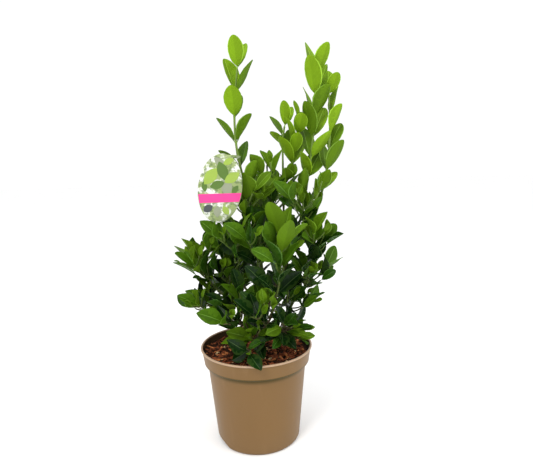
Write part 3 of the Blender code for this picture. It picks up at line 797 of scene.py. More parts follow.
class Growth:
    """The whole plant: limbs by name, shoots and leaves, grown by one seeded rule."""

    def __init__(self):
        self.space = Space()
        self.limbs = {}
        self.stems = {}
        self.shoots = []
        self.sprigs = []
        for name in ("pot", "soil"):
            self.add_node(name)
        self.grow_limbs()
        self.add_node("tag")
        twigs = {}
        for number, row in enumerate(MASSES):
            twigs[row.name] = self.grow_mass(row, random.Random(SEED + number))
        for number, row in enumerate(MASSES):
            self.grow_finer(row, twigs[row.name], random.Random(FINER_SEED + number))

    def add_node(self, name):
        """Takes a CAD node's skin as room that is taken."""
        mesh = frame["nodes"][name].data
        points = [vertex.co.copy() for vertex in mesh.vertices]
        self.space.add(points, [tuple(face.vertices) for face in mesh.polygons])

    def grow_limbs(self):
        """Stem, boughs and the main stem of each mass."""
        self.limbs["trunk"], *skin = grow_trunk()
        self.space.add(*skin)
        for row in MASSES:
            self.limbs[row.name], *skin = grow_bough(row, self.limbs[row.parent])
            self.space.add(*skin)
        for row in MASSES:
            foot, tip = Vector(row.foot), Vector(row.tip)
            bough = self.limbs[row.name].path
            onward = (bough[-1] - bough[-2]).normalized()
            begin = foot + onward * GAP
            path = curve(begin, begin + onward * ((tip - foot).length * STEM_STRAIGHT), tip, STEM_RINGS)
            radii = even_taper(LIMB_TIP_RADIUS, STEM_TIP_RADIUS, STEM_RINGS)
            self.space.add(*tube(path, radii, STEM_SIDES, onward))
            self.stems[row.name] = path
            self.shoots.append(Shoot(row.name, path, LIMB_TIP_RADIUS, STEM_TIP_RADIUS))

    def grow_pair(self, root, stem_along, turn, spread, length, row, chance, share, fine=False):
        """Two opposite leaves, each tried a few ways until it is clear of everything else."""
        foot, tip = Vector(row.foot), Vector(row.tip)
        for side in (0.0, 180.0):
            turned_by = turn + side + chance.uniform(-LEAF_TURN_SHIFT, LEAF_TURN_SHIFT)
            leaned_by = spread + chance.uniform(-LEAF_SPREAD_SHIFT, LEAF_SPREAD_SHIFT)
            size = length * chance.uniform(*LEAF_SIZES)
            for more_turn, more_spread, scale in TRIES:
                leaf = leaf_at(root, stem_along, turned_by + more_turn, leaned_by + more_spread, size * scale)
                end = leaf.root + leaf.along * leaf.length
                reach = FINER_REACH if fine else REACH
                if not within_reach(end, foot, tip, reach) or (fine and not in_cad_box(end)):
                    continue
                if self.space.clear(*leaf_points(leaf, LEAF_CLEAR, FREE_FROM)):
                    self.space.add(*leaf_points(leaf, 0.0, FREE_FROM))
                    self.sprigs.append(Sprig(row.name, leaf, share))
                    break

    def grow_leaves(self, path, pairs, first, row, turn, length, chance, stem_share=None, fine=False):
        """Pairs of leaves up a stem, each pair a quarter turn from the last."""
        for k in range(pairs):
            share = k / max(1, pairs - 1)
            root, along, _ = on_path(path, first + (PAIRS_TO - first) * share)
            spread = row.spread[0] + (row.spread[1] - row.spread[0]) * share
            place = share if stem_share is None else stem_share
            self.grow_pair(root, along, turn + 90.0 * k, spread, length, row, chance, place, fine)

    def grow_twig(self, row, path, share, turn, lengths, chance):
        """A side twig off a stem, or nothing where its way isn't clear."""
        root, along, _ = on_path(path, share)
        across, up = side_frame(along)
        side = towards(across, up, math.radians(turn))
        length = chance.uniform(*lengths)
        lean = root + (along * TWIG_LEAN[0] + side * TWIG_LEAN[1]) * length
        end = root + (along * TWIG_ONWARD + side * TWIG_SIDEWAYS + Vector((0, 0, TWIG_RISE))) * length
        twig = curve(root, lean, end, TWIG_RINGS)
        radii = even_taper(TWIG_RADIUS, STEM_TIP_RADIUS, TWIG_RINGS)
        if not self.space.clear(*tube(twig[1:], [r + LEAF_CLEAR for r in radii[1:]], TWIG_SIDES)):
            return None
        self.space.add(*tube(twig[1:], radii[1:], TWIG_SIDES))
        self.shoots.append(Shoot(row.name, twig, TWIG_RADIUS, STEM_TIP_RADIUS))
        return twig

    def grow_mass(self, row, chance):
        """The side twigs and the leaves that the source gives a mass."""
        path = self.stems[row.name]
        twigs = []
        for j in range(row.twigs):
            share = TWIGS_FROM + (TWIGS_TO - TWIGS_FROM) * (j + 0.5) / row.twigs
            share += chance.uniform(-TWIG_SHIFT, TWIG_SHIFT)
            turn = row.turn + TWIG_OFF_TURN + GOLDEN_TURN * j
            turn += chance.uniform(-TWIG_TURN_SHIFT, TWIG_TURN_SHIFT)
            twig = self.grow_twig(row, path, share, turn, TWIG_LENGTH, chance)
            if twig is None:
                continue
            twigs.append((twig, turn))
            small = row.leaf * TWIG_LEAF
            self.grow_leaves(twig, TWIG_PAIRS, TWIG_PAIRS_FROM, row, turn, small, chance, share)
        self.grow_leaves(path, row.pairs, PAIRS_FROM, row, row.turn, row.leaf, chance)
        root, along, _ = on_path(path, PAIRS_TO)
        bud_turn = row.turn + 90.0 * row.pairs
        self.grow_pair(root, along, bud_turn, BUD_SPREAD, row.leaf * BUD_LEAF, row, chance, 1.0)
        return twigs

    def grow_finer(self, row, twigs, chance):
        """Carries a mass on within its reach: side shoots, finer twigs and small leaves in the axils."""
        path = self.stems[row.name]
        if row.twigs == 0:
            for k in range(row.pairs - 1):
                share = PAIRS_FROM + (PAIRS_TO - PAIRS_FROM) * (k + AXIL_ABOVE) / max(1, row.pairs - 1)
                root, along, _ = on_path(path, share)
                turn = row.turn + 90.0 * k + TWIG_OFF_TURN
                length = row.leaf * AXIL_LEAF
                self.grow_pair(root, along, turn, AXIL_SPREAD, length, row, chance, share, fine=True)
            return
        for twig, turn in twigs:
            root, along, _ = on_path(twig, PAIRS_TO)
            bud = row.leaf * BUD_LEAF
            self.grow_pair(root, along, turn, BUD_SPREAD, bud, row, chance, 1.0, fine=True)
            for side in (90.0, -90.0):
                share = chance.uniform(TWIG_PAIRS_FROM, PAIRS_TO)
                self.grow_sprig(row, twig, share, turn + side, SIDE_SHOOT_LENGTH, SIDE_SHOOT_PAIRS, chance)
        count = FINER_TWIGS_LOW if row.name in FRONT + BACK else FINER_TWIGS
        for j in range(count + row.twigs):
            share = FINER_FROM + (FINER_TO - FINER_FROM) * chance.random()
            turn = row.turn + GOLDEN_TURN * (j + 0.5)
            self.grow_sprig(row, path, share, turn, FINER_LENGTH, FINER_PAIRS, chance)

    def grow_sprig(self, row, path, share, turn, lengths, pairs, chance):
        """A finer twig with its own small leaves, if its way is clear."""
        if on_path(path, share)[0].z < LEAST_ROOT_HEIGHT:
            return
        twig = self.grow_twig(row, path, share, turn, lengths, chance)
        if twig is None:
            return
        small = row.leaf * (FINER_LEAF_UPPER if row.name in UPPER else FINER_LEAF)
        self.grow_leaves(twig, pairs, FINER_PAIRS_FROM, row, turn, small, chance, share, fine=True)
        root, along, _ = on_path(twig, PAIRS_TO)
        bud = row.leaf * FINER_BUD
        self.grow_pair(root, along, turn + 90.0 * pairs, BUD_SPREAD, bud, row, chance, 1.0, fine=True)


def trunk_at(share):
    """The middle of the stem and its radius, at a share of its length."""
    point = Vector(TRUNK_FOOT).lerp(Vector(TRUNK_TOP), share) + Vector(TRUNK_BEND) * math.sin(math.pi * share)
    slim = TRUNK_RADIUS + (TRUNK_TIP_RADIUS - TRUNK_RADIUS) * share
    return point, slim + TRUNK_FLARE * math.exp(-share / FLARE_SHARE)


def grow_trunk():
    """The short stem: it flares at the soil, leans a little and tapers to its fork."""
    path, radii = zip(*(trunk_at(share) for share in TRUNK_STATIONS))
    points, faces = tube(path, radii, TRUNK_SIDES)
    points = [Vector((p.x, p.y, TRUNK_FOOT[2])) if i < TRUNK_SIDES else p for i, p in enumerate(points)]
    return Limb(path, radii, BVHTree.FromPolygons(points, faces), path, path[0]), points, faces


def cap_is_clear(path, first, radius, tree):
    """Whether the flat end of a limb that begins at this point of its path stands off its parent's skin."""
    centre = path[first]
    along = (path[first + 1] - centre).normalized()
    across, up = side_frame(along)
    for k in range(2 * LIMB_SIDES):
        a = math.pi * k / LIMB_SIDES
        out = radius if k % 2 == 0 else radius * math.cos(math.pi / LIMB_SIDES)
        point = centre + towards(across, up, a) * out
        near, normal, _, far = tree.find_nearest(point)
        if (point - near).dot(normal) <= 0 or far < CAP_GAP:
            return False
    return True


def grow_bough(row, parent):
    """A bough from the side or the tip of the limb it leaves, to the foot of its mass."""
    begin, parent_along, place = on_path(parent.path, row.at)
    root = begin
    end = Vector(row.foot)
    across = end - begin
    first = 0
    if row.at == 1.0:
        radius = parent.radii[-1]
        begin = begin + parent_along * GAP
        fine = curve(begin, begin + parent_along * (across.length * TIP_LEAN), end, FINE_POINTS)
    else:
        radius = max(LEAST_BOUGH_RADIUS, value_at(parent.radii, place) * LIMB_TO_PARENT)
        lean = begin + Vector((across.x * LIMB_REACH, across.y * LIMB_REACH, across.z * LIMB_RISE))
        fine = curve(begin, lean, end, FINE_POINTS)
        while not cap_is_clear(fine, first, radius, parent.tree):
            first += 1
    fine = fine[first:]
    path = [on_path(fine, i / (LIMB_RINGS - 1))[0] for i in range(LIMB_RINGS)]
    radii = even_taper(radius, LIMB_TIP_RADIUS, LIMB_RINGS)
    first_along = parent_along if row.at == 1.0 else (fine[1] - fine[0]).normalized()
    points, faces = tube(path, radii, LIMB_SIDES, first_along)
    return Limb(path, radii, BVHTree.FromPolygons(points, faces), fine, root), points, faces


@functools.cache
def grown_plant():
    """The plant, grown once for all the pieces."""
    return Growth()


# Node trees.
def add(tree, kind, inputs=(), **settings):
    """A node with its settings, and the values or the links of its inputs."""
    node = tree.nodes.new(kind)
    for key, value in settings.items():
        setattr(node, key, value)
    for label, value in dict(inputs).items():
        socket = node.inputs[label]
        if isinstance(value, bpy.types.NodeSocket):
            tree.links.new(value, socket)
        else:
            socket.default_value = value
    return node


def new_group(name, kind, inputs, outputs=()):
    """An empty node group: its inputs' names and defaults, and its outputs' names and types."""
    group = bpy.data.node_groups.new(name, kind)
    make = group.interface.new_socket
    if kind == "GeometryNodeTree":
        for way in ("INPUT", "OUTPUT"):
            make("Geometry", in_out=way, socket_type="NodeSocketGeometry")
    for label, value in inputs.items():
        make(label, in_out="INPUT", socket_type=SOCKETS[type(value)]).default_value = value
    for label, value_type in dict(outputs).items():
        make(label, in_out="OUTPUT", socket_type=SOCKETS[value_type])
    return group, group.nodes.new("NodeGroupInput").outputs, group.nodes.new("NodeGroupOutput").inputs


def run_tree(piece, tree, values):
    """Runs a Geometry Nodes tree on an object and keeps what it makes as the object's plain mesh."""
    modifier = piece.modifiers.new(tree.name, "NODES")
    modifier.node_group = tree
    sockets = {item.name: item.identifier for item in tree.interface.items_tree if item.in_out == "INPUT"}
    for label, value in values.items():
        modifier[sockets[label]] = value
    if not kept_mesh(piece).polygons:
        raise RuntimeError(f"{piece.name}: {tree.name} made nothing")


def set_attribute(mesh, name, kind, domain, values):
    """A named attribute of a mesh from a list of values."""
    attribute = mesh.attributes.new(name, kind, domain)
    key = "vector" if kind == "FLOAT_VECTOR" else "value"
    if kind in ("QUATERNION", "FLOAT_VECTOR"):
        values = [number for value in values for number in value]
    attribute.data.foreach_set(key, values)


def named(tree, name, kind):
    """The output of a Named Attribute node."""
    return add(tree, "GeometryNodeInputNamedAttribute", {"Name": name}, data_type=kind).outputs["Attribute"]


def equal(tree, value, number, operation="EQUAL"):
    """Whether a whole number of the geometry is the given one, or compares with it in another way."""
    inputs = {2: value, 3: number}
    return add(tree, "FunctionNodeCompare", inputs, data_type="INT", operation=operation).outputs[0]


def random_value(tree, kind, low, high, seed):
    """A random value between two limits for each point."""
    first, second, out = RANDOM_SOCKETS[kind]
    inputs = {first: low, second: high, "Seed": seed}
    return add(tree, "FunctionNodeRandomValue", inputs, data_type=kind).outputs[out]


def vector_of(tree, x, y, z):
    """A vector from its three parts."""
    return add(tree, "ShaderNodeCombineXYZ", {0: x, 1: y, 2: z}).outputs[0]


def vector_node(tree, operation, inputs, out="Vector"):
    """The result of a Vector Math node."""
    return add(tree, "ShaderNodeVectorMath", inputs, operation=operation).outputs[out]


def set_out(tree, points, shapes, kind, turn, size):
    """One of a collection's shapes on each point, by the point's kind, turn and size."""
    source = add(tree, "GeometryNodeCollectionInfo",
                 {"Collection": shapes, "Separate Children": True, "Reset Children": True})
    inputs = {"Points": points, "Instance": source.outputs[0], "Pick Instance": True,
              "Instance Index": kind, "Rotation": turn, "Scale": size}
    return add(tree, "GeometryNodeInstanceOnPoints", inputs).outputs[0]


def realized(tree, geometry):
    """Geometry with its instances made real."""
    return add(tree, "GeometryNodeRealizeInstances", {0: geometry}).outputs[0]


def painted(tree, geometry, surface, chosen=True):
    """Geometry with a material on its chosen faces."""
    inputs = {"Geometry": geometry, "Selection": chosen, "Material": surface}
    return add(tree, "GeometryNodeSetMaterial", inputs).outputs[0]


# Shader groups and materials.
def math_node(tree, operation, a, b=0.0, clamped=False):
    """The result of a Math node."""
    return add(tree, "ShaderNodeMath", {0: a, 1: b}, operation=operation, use_clamp=clamped).outputs[0]


def times(tree, a, b, clamped=False):
    """The product of two values."""
    return math_node(tree, "MULTIPLY", a, b, clamped)


def less(tree, a, b):
    """A value less another."""
    return math_node(tree, "SUBTRACT", a, b)


def mixed(tree, share, a, b):
    """The colour between two colours, each of them a link or plain."""
    a, b = (colour if isinstance(colour, bpy.types.NodeSocket) else (*colour, 1.0) for colour in (a, b))
    return add(tree, "ShaderNodeMix", {"Factor": share, 6: a, 7: b}, data_type="RGBA").outputs[2]


def toned(colour, scale, lift):
    """A colour made lighter or darker by a scale, with a lift added to each of its parts."""
    return tuple(min(1.0, part * scale + more) for part, more in zip(colour, lift))


def place(tree):
    """Object coordinates."""
    return add(tree, "ShaderNodeTexCoord").outputs["Object"]


def noise_node(tree, vector, scale, detail=2.0):
    """The value of a Noise Texture."""
    inputs = {"Vector": vector, "Scale": scale, "Detail": detail}
    return add(tree, "ShaderNodeTexNoise", inputs).outputs["Fac"]


def between(tree, value, low, high, to_low=0.0, to_high=1.0):
    """A value brought from one range to another, and held there."""
    inputs = {"Value": value, "From Min": low, "From Max": high, "To Min": to_low, "To Max": to_high}
    return add(tree, "ShaderNodeMapRange", inputs).outputs["Result"]


@functools.cache
def mottle_group():
    """Tones a plain colour: soft patches and a fine grain, at named scales and strengths."""
    group, given, result = new_group(
        "Mottle", "ShaderNodeTree",
        {"Colour": (0.5, 0.5, 0.5, 1.0), "Patch Scale": 30.0, "Patch": 0.2, "Grain Scale": 600.0,
         "Grain": 0.1},
        {"Colour": tuple, "Patch": float, "Grain": float})
    where = place(group)
    patch = between(group, noise_node(group, where, given["Patch Scale"], detail=3.0), *PATCH_EDGES)
    grain = noise_node(group, where, given["Grain Scale"])
    tone = times(group, less(group, patch, 0.5), given["Patch"])
    fine = times(group, less(group, grain, 0.5), given["Grain"])
    level = math_node(group, "ADD", math_node(group, "ADD", tone, fine), 1.0)
    scaled = vector_node(group, "SCALE", {0: given["Colour"], "Scale": level})
    for label, value in (("Colour", scaled), ("Patch", patch), ("Grain", grain)):
        group.links.new(value, result[label])
    return group


@functools.cache
def vein_group():
    """From a leaf's UV map: a mask that is 1 on a side vein, and one that is 1 on the painted-shade half."""
    group, given, result = new_group(
        "Leaf Veins", "ShaderNodeTree", {"Count": 7.0, "Slant": 0.55, "Width": 0.10},
        {"Vein": float, "Shaded Half": float})
    uv = add(group, "ShaderNodeTexCoord").outputs["UV"]
    parts = add(group, "ShaderNodeSeparateXYZ", {0: uv}).outputs
    aside = math_node(group, "ABSOLUTE", less(group, parts["X"], 0.5))
    slanted = times(group, aside, given["Slant"])
    run = times(group, less(group, parts["Y"], slanted), given["Count"])
    wave = math_node(group, "ABSOLUTE", less(group, math_node(group, "FRACT", run), 0.5))
    vein = between(group, wave, 0.0, given["Width"], 1.0, 0.0)
    fade = between(group, aside, *VEIN_FADE, 1.0, 0.0)
    group.links.new(times(group, vein, fade), result["Vein"])
    group.links.new(between(group, parts["X"], *HALF_SHADE_EDGES), result["Shaded Half"])
    return group


@functools.cache
def wear_group():
    """Scuffs on plastic: a mask of short upright scratches, gathered where a cloud of wear lies."""
    group, given, result = new_group(
        "Plastic Wear", "ShaderNodeTree", {"Scale": 40.0, "Amount": 0.5}, {"Scuff": float})
    where = place(group)
    stretched = add(group, "ShaderNodeMapping", {"Vector": where, "Scale": SCUFF_STRETCH})
    lines = noise_node(group, stretched.outputs[0], given["Scale"], detail=6.0)
    cloud = between(group, noise_node(group, where, scale=14.0, detail=3.0), *SCUFF_CLOUD)
    scuff = times(group, between(group, lines, *SCUFF_LINES), cloud)
    group.links.new(times(group, scuff, given["Amount"], clamped=True), result["Scuff"])
    return group


def new_material(name, roughness, specular=0.5, coat=0.0, coat_roughness=0.1):
    """A material with its Principled BSDF, for the nodes that colour it."""
    made = bpy.data.materials.new(name)
    made.use_nodes = True
    shader = made.node_tree.nodes["Principled BSDF"]
    shader.inputs["Roughness"].default_value = roughness
    shader.inputs["Specular IOR Level"].default_value = specular
    shader.inputs["Coat Weight"].default_value = coat
    shader.inputs["Coat Roughness"].default_value = coat_roughness
    return made, made.node_tree, shader


def placed(tree, group, inputs=()):
    """A shader group placed in a material."""
    return add(tree, "ShaderNodeGroup", inputs, node_tree=group).outputs


def mottle(tree, colour, patch, grain):
    """The mottle group placed in a material; patch and grain are each a scale and a strength."""
    inputs = {"Colour": (*colour, 1.0), "Patch Scale": patch[0], "Patch": patch[1],
              "Grain Scale": grain[0], "Grain": grain[1]}
    return placed(tree, mottle_group(), inputs)


def roughen(tree, shader, patch, middle, shift):
    """Roughness that follows the patches, up to a shift on either side of its middle."""
    rough = between(tree, patch, 0.0, 1.0, middle - shift, middle + shift)
    tree.links.new(rough, shader.inputs["Roughness"])


def bump(tree, shader, height, strength, distance):
    """Feeds a height to the shader's normal."""
    inputs = {"Height": height, "Strength": strength, "Distance": distance}
    tree.links.new(add(tree, "ShaderNodeBump", inputs).outputs[0], shader.inputs["Normal"])


def mottled(name, colour, roughness, patch=(30.0, 0.2), grain=(600.0, 0.1), height=0.0, **shine):
    """A material of one colour with soft patches and a fine grain."""
    made, tree, shader = new_material(name, roughness, **shine)
    tones = mottle(tree, colour, patch, grain)
    tree.links.new(tones["Colour"], shader.inputs["Base Color"])
    roughen(tree, shader, tones["Patch"], roughness, ROUGH_SHIFT)
    if height:
        bump(tree, shader, tones["Grain"], strength=0.5, distance=height)
    return made


def leaf_material(name, colour, roughness, veins, patch, **shine):
    """A leaf side: a mottled green with painted shade on one half, and its side veins a little paler."""
    made, tree, shader = new_material(name, roughness, **shine)
    vein = placed(tree, vein_group())
    tones = mottle(tree, colour, (26.0, patch), (420.0, 0.06))
    # Painted shade on one half of the blade, as a folded leaf's halves would catch the light unevenly.
    half = times(tree, vein["Shaded Half"], HALF_SHADE_SHARE)
    half_shaded = mixed(tree, half, tones["Colour"], toned(colour, *HALF_SHADE_TONE))
    veined = mixed(tree, times(tree, vein["Vein"], veins), half_shaded, toned(colour, *VEIN_TONE))
    tree.links.new(veined, shader.inputs["Base Color"])
    roughen(tree, shader, tones["Patch"], roughness, LEAF_ROUGH_SHIFT)
    bump(tree, shader, tones["Patch"], strength=0.15, distance=0.0008)
    return made


# Sizes and colours that a user would change.
def colour_property(name, description, default):
    """A colour property."""
    return FloatVectorProperty(name=name, description=description, default=default, subtype="COLOR",
                               size=3, min=0.0, max=1.0)


def number_property(name, description, default, **more):
    """A property for a number that isn't whole."""
    return FloatProperty(name=name, description=description, default=default, **more)


def length_property(name, description, default):
    """A property for a length in metres."""
    return number_property(name, description, default, unit="LENGTH")


class PotSettings(bpy.types.PropertyGroup):
    """The pot's facets and finish."""

    segments: IntProperty(name="Segments", description="Faces round the pot", default=144, min=36, max=288)
    plastic: colour_property("Plastic", "Taupe of the pot's plastic", (0.190, 0.105, 0.036))
    # The lip's paler colour is a painted highlight on the rolled edge.
    lip: colour_property("Lip", "Painted highlight on the rolled lip", (0.43, 0.285, 0.175))
    shade: colour_property("Shade", "Olive shade under the collar", (0.068, 0.047, 0.006))
    # The inside colour is painted shade on the inner wall above the soil.
    inside: colour_property("Inside", "Painted shade on the inner wall above the soil", (0.035, 0.019, 0.007))
    roughness: number_property("Roughness", "How matte the plastic is", 0.41, min=0.05, max=0.90)


class SoilSettings(bpy.types.PropertyGroup):
    """The bark mulch in the pot."""

    density: number_property("Chip Density", "Bark chips on a square metre", 46000.0)
    chip_length: length_property("Chip Length", "Length of a full-sized chip", 0.018)
    seed: IntProperty(name="Seed", description="Another number lays the chips another way", default=7)
    humus: colour_property("Humus", "Dark earth between the chips", (0.020, 0.008, 0.004))
    chestnut: colour_property("Chestnut", "Most of the chips", (0.190, 0.052, 0.020))
    rust: colour_property("Rust", "Fresh reddish chips", (0.44, 0.155, 0.052))
    umber: colour_property("Umber", "Old dark chips", (0.040, 0.013, 0.006))
    straw: colour_property("Straw", "A few pale splinters", (0.50, 0.35, 0.18))


class BranchSettings(bpy.types.PropertyGroup):
    """Stem, boughs and shoots."""

    sides: IntProperty(name="Sides", description="Faces round a limb", default=14, min=6, max=32)
    relief: length_property("Relief", "Depth of the bark's ridges", 0.00055)
    bark: colour_property("Bark", "Grey-brown bark of the old wood", (0.080, 0.060, 0.032))
    green: colour_property("Green Wood", "Green of the twigs in the crown", (0.085, 0.140, 0.022))
    pale: colour_property("Pale Green", "Green of the tall shoots' stems", (0.19, 0.29, 0.060))


class LeafSettings(bpy.types.PropertyGroup):
    """Greens and gloss of the leaves."""

    shoot: colour_property("Shoot", "Leaves of the tall shoots", (0.174, 0.314, 0.008))
    young: colour_property("Young", "New leaves at the ends of twigs", (0.086, 0.172, 0.004))
    middle: colour_property("Middle", "Leaves in between", (0.048, 0.118, 0.003))
    mature: colour_property("Mature", "Full-grown glossy leaves", (0.018, 0.063, 0.003))
    # The deep tint goes low and inside the crown: partly older leaves, partly painted shade.
    deep: colour_property("Deep", "Old leaves inside the crown", (0.005, 0.023, 0.003))
    seed: IntProperty(name="Seed", description="Another number varies widths and tints", default=6)
    spread: number_property("Width Spread", "How much the leaves' widths differ", 0.10, min=0.0, max=0.4)


class TagSettings(bpy.types.PropertyGroup):
    """The oval card that hangs in the plant."""

    thickness: length_property("Thickness", "Thickness of the card", 0.0007)
    bow: length_property("Bow", "How far the card's sides bend back", 0.0012)
    card: colour_property("Card", "White of the card", (0.76, 0.78, 0.72))
    cloud: colour_property("Cloud", "Pale green of the print's clouds", (0.26, 0.34, 0.105))
    shade: colour_property("Shade", "Darker green in the clouds", (0.115, 0.170, 0.060))
    band: colour_property("Band", "Pink of the band", (0.78, 0.040, 0.27))


class StageSettings(bpy.types.PropertyGroup):
    """Floor, lights and camera."""

    lens: number_property("Lens", "Focal length of the camera in millimetres", 29.77, min=1.0)
    floor: colour_property("Floor", "Pale floor", (0.94, 0.94, 0.94))
    backdrop: number_property("Backdrop", "Brightness of the white behind the plant", 1.04, min=0.0)
    zenith: number_property("Zenith", "Light from straight above", 1.38, min=0.0)
    horizon: number_property("Horizon", "Light from the sides", 0.32, min=0.0)
    key: number_property("Key Light", "Power of the large light in watts", 31.0, min=0.0)
    fill: number_property("Fill Light", "Power of the light from the right in watts", 13.0, min=0.0)


class SpindleSettings(bpy.types.PropertyGroup):
    """All the settings of the potted spindle."""

    pot: PointerProperty(type=PotSettings)
    soil: PointerProperty(type=SoilSettings)
    branches: PointerProperty(type=BranchSettings)
    leaves: PointerProperty(type=LeafSettings)
    tag: PointerProperty(type=TagSettings)
    stage: PointerProperty(type=StageSettings)


def stands_in(piece, slot, nodes):
    """Makes a piece ride on the object and stand for CAD nodes, which it hides; the slot is not used."""
    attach(piece, "root")
    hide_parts(*nodes)


# Pot.
def arc(centre, reach, first, last, count):
    """Points of an arc in the pot's outline, from one turn to another in degrees."""
    turns = [math.radians(first + (last - first) * i / count) for i in range(count + 1)]
    return [(centre[0] + reach[0] * math.cos(a), centre[1] + reach[1] * math.sin(a)) for a in turns]


def along_line(start, end, count):
    """Points of the pot's outline on a straight line, without its end."""
    return [(start[0] + (end[0] - start[0]) * i / count, start[1] + (end[1] - start[1]) * i / count)
            for i in range(count)]


def pot_outline():
    """The pot's outline, from the middle of its underside, up the outer side and down the inner one."""
    collar_foot = POT_HEIGHT - COLLAR_HEIGHT
    shelf = collar_foot - COLLAR_STEP
    lip_foot = POT_HEIGHT - LIP_HEIGHT
    rise = LIP_HEIGHT / 2
    inner_lip = COLLAR_RADIUS - POT_WALL
    collar_turn = (COLLAR_FOOT_RADIUS - COLLAR_ROUND, collar_foot + COLLAR_LIFT)
    collar_start = (COLLAR_FOOT_RADIUS + COLLAR_EASE[0], collar_foot + COLLAR_EASE[1])
    mouth_turn = (inner_lip + MOUTH_ROUND, POT_HEIGHT - MOUTH_ROUND)
    inner_collar = (COLLAR_FOOT_RADIUS - POT_WALL, collar_foot + INNER_STEP)
    inner_top = (BODY_TOP_RADIUS - POT_WALL, shelf + INNER_STEP)
    foot_arc = arc((BASE_RADIUS, BASE_ROUND), (BODY_FOOT_RADIUS - BASE_RADIUS, BASE_ROUND), -90, 0, 10)
    outline = [(0.0, 0.0), (BASE_RADIUS * 0.6, 0.0), *foot_arc[:-1]]
    outline += along_line((BODY_FOOT_RADIUS, BASE_ROUND), (BODY_TOP_RADIUS, shelf), 12)
    outline += arc((BODY_TOP_RADIUS + SHELF_ROUND[0], shelf), SHELF_ROUND, 180, 100, 3)
    outline += arc(collar_turn, (COLLAR_ROUND, COLLAR_ROUND), -60, 0, 5)
    outline += along_line(collar_start, (COLLAR_RADIUS, lip_foot - 2 * NECK_ROUND), 6)
    outline += arc((COLLAR_RADIUS + NECK_ROUND, lip_foot - NECK_ROUND), (NECK_ROUND, NECK_ROUND), 180, 90, 3)
    outline += arc((LIP_RADIUS - rise, POT_HEIGHT - rise), (rise, rise), -70, 90, 10)
    outline += arc(mouth_turn, (MOUTH_ROUND, MOUTH_ROUND), 100, 180, 4)
    outline += along_line((inner_lip, POT_HEIGHT - MOUTH_DROP), inner_collar, 4)
    outline += along_line(inner_top, (BODY_FOOT_RADIUS - POT_WALL, BASE_ROUND), 8)
    return outline + [(BASE_RADIUS - POT_WALL, POT_FLOOR), (0.0, POT_FLOOR)]


def pot_materials(settings):
    """Satin plastic, painted shade under its collar and inside; its paler rolled lip, a painted highlight."""
    plastic, tree, shader = new_material("pot_plastic", settings.roughness, specular=0.22)
    tones = mottle(tree, settings.plastic, (9.0, 0.07), (900.0, 0.07))
    wear = placed(tree, wear_group(), {"Scale": 55.0, "Amount": 0.35})
    height = add(tree, "ShaderNodeSeparateXYZ", {0: place(tree)}).outputs["Z"]
    soiled = times(tree, between(tree, height, 0.0, GRIME_REACH, GRIME_SHARE, 0.0), tones["Patch"])
    worn = mixed(tree, wear["Scuff"], tones["Colour"], toned(settings.plastic, *DUST_TONE))
    grimed = mixed(tree, soiled, worn, GRIME)
    collar_foot = POT_HEIGHT - COLLAR_HEIGHT
    below = between(tree, height, collar_foot - SHADE_REACH, collar_foot - SHADE_FULL, 0.0, SHADE_SHARE)
    above = between(tree, height, collar_foot, collar_foot + SHADE_FADE, 1.0, 0.0)
    shaded = mixed(tree, times(tree, below, above), grimed, settings.shade)
    # Painted shade on the inner wall above the soil, within the collar.
    level = vector_node(tree, "MULTIPLY", {0: place(tree), 1: (1.0, 1.0, 0.0)})
    radius = vector_node(tree, "LENGTH", {0: level}, "Value")
    within = between(tree, radius, INNER_WALL_RADIUS - WALL_FADE, INNER_WALL_RADIUS + WALL_FADE, 1.0, 0.0)
    over_soil = between(tree, height, SOIL_TOP - INSIDE_FADE, SOIL_TOP, 0.0, INNER_WALL_SHADE_SHARE)
    inner = times(tree, within, over_soil)
    tree.links.new(mixed(tree, inner, shaded, settings.inside), shader.inputs["Base Color"])
    smooth, matte = settings.roughness - ROUGH_SHIFT, settings.roughness + ROUGH_SHIFT
    plain = between(tree, tones["Patch"], 0.0, 1.0, smooth, matte)
    rough = math_node(tree, "ADD", plain, times(tree, wear["Scuff"], SCUFF_ROUGHER))
    tree.links.new(rough, shader.inputs["Roughness"])
    bump(tree, shader, tones["Grain"], strength=0.25, distance=0.0001)
    lip = mottled("pot_lip_highlight", settings.lip, 0.34, patch=(22.0, 0.10), grain=(700.0, 0.06), height=0.00005)
    return plastic, lip


def notch_cutter(turn):
    """A flat disc on edge that cuts one drain notch, at a turn round the foot in degrees."""
    bpy.ops.mesh.primitive_cylinder_add(vertices=NOTCH_SIDES, radius=1.0, depth=1.0)
    cutter = bpy.context.active_object
    angle = math.radians(turn)
    cutter.scale = (NOTCH_HEIGHT, NOTCH_WIDTH / 2, NOTCH_DEPTH)
    cutter.location = (NOTCH_RADIUS * math.cos(angle), NOTCH_RADIUS * math.sin(angle), 0.0)
    cutter.rotation_euler = (0.0, math.pi / 2, angle)
    return cutter


class SPINDLE_OT_pot(bpy.types.Operator):
    """Make the nursery pot, finely turned, with its collar, rolled lip and drain notches"""

    bl_idname = "spindle.pot"
    bl_label = "Pot"

    def execute(self, context):
        settings = context.scene.spindle.pot
        points, faces = turned(pot_outline(), settings.segments)
        pot = new_object("nursery_pot", points, faces, pot_materials(settings), sharp=POT_SHARP)
        cutters = [notch_cutter(turn) for turn in NOTCH_ANGLES]
        for cutter in cutters:
            cut = pot.modifiers.new("notch", "BOOLEAN")
            cut.operation = "DIFFERENCE"
            cut.object = cutter
        made = kept_mesh(pot)
        made.set_sharp_from_angle(angle=math.radians(POT_SHARP))
        # The rolled lip's faces take the paler lip colour, a painted highlight.
        lip_foot = POT_HEIGHT - LIP_HEIGHT - LIP_EDGE
        for face in made.polygons:
            face.material_index = 1 if face.center.z > lip_foot else 0
        for cutter in cutters:
            bpy.data.objects.remove(cutter)
        stands_in(pot, "pot_plastic", ["pot"])
        return {"FINISHED"}


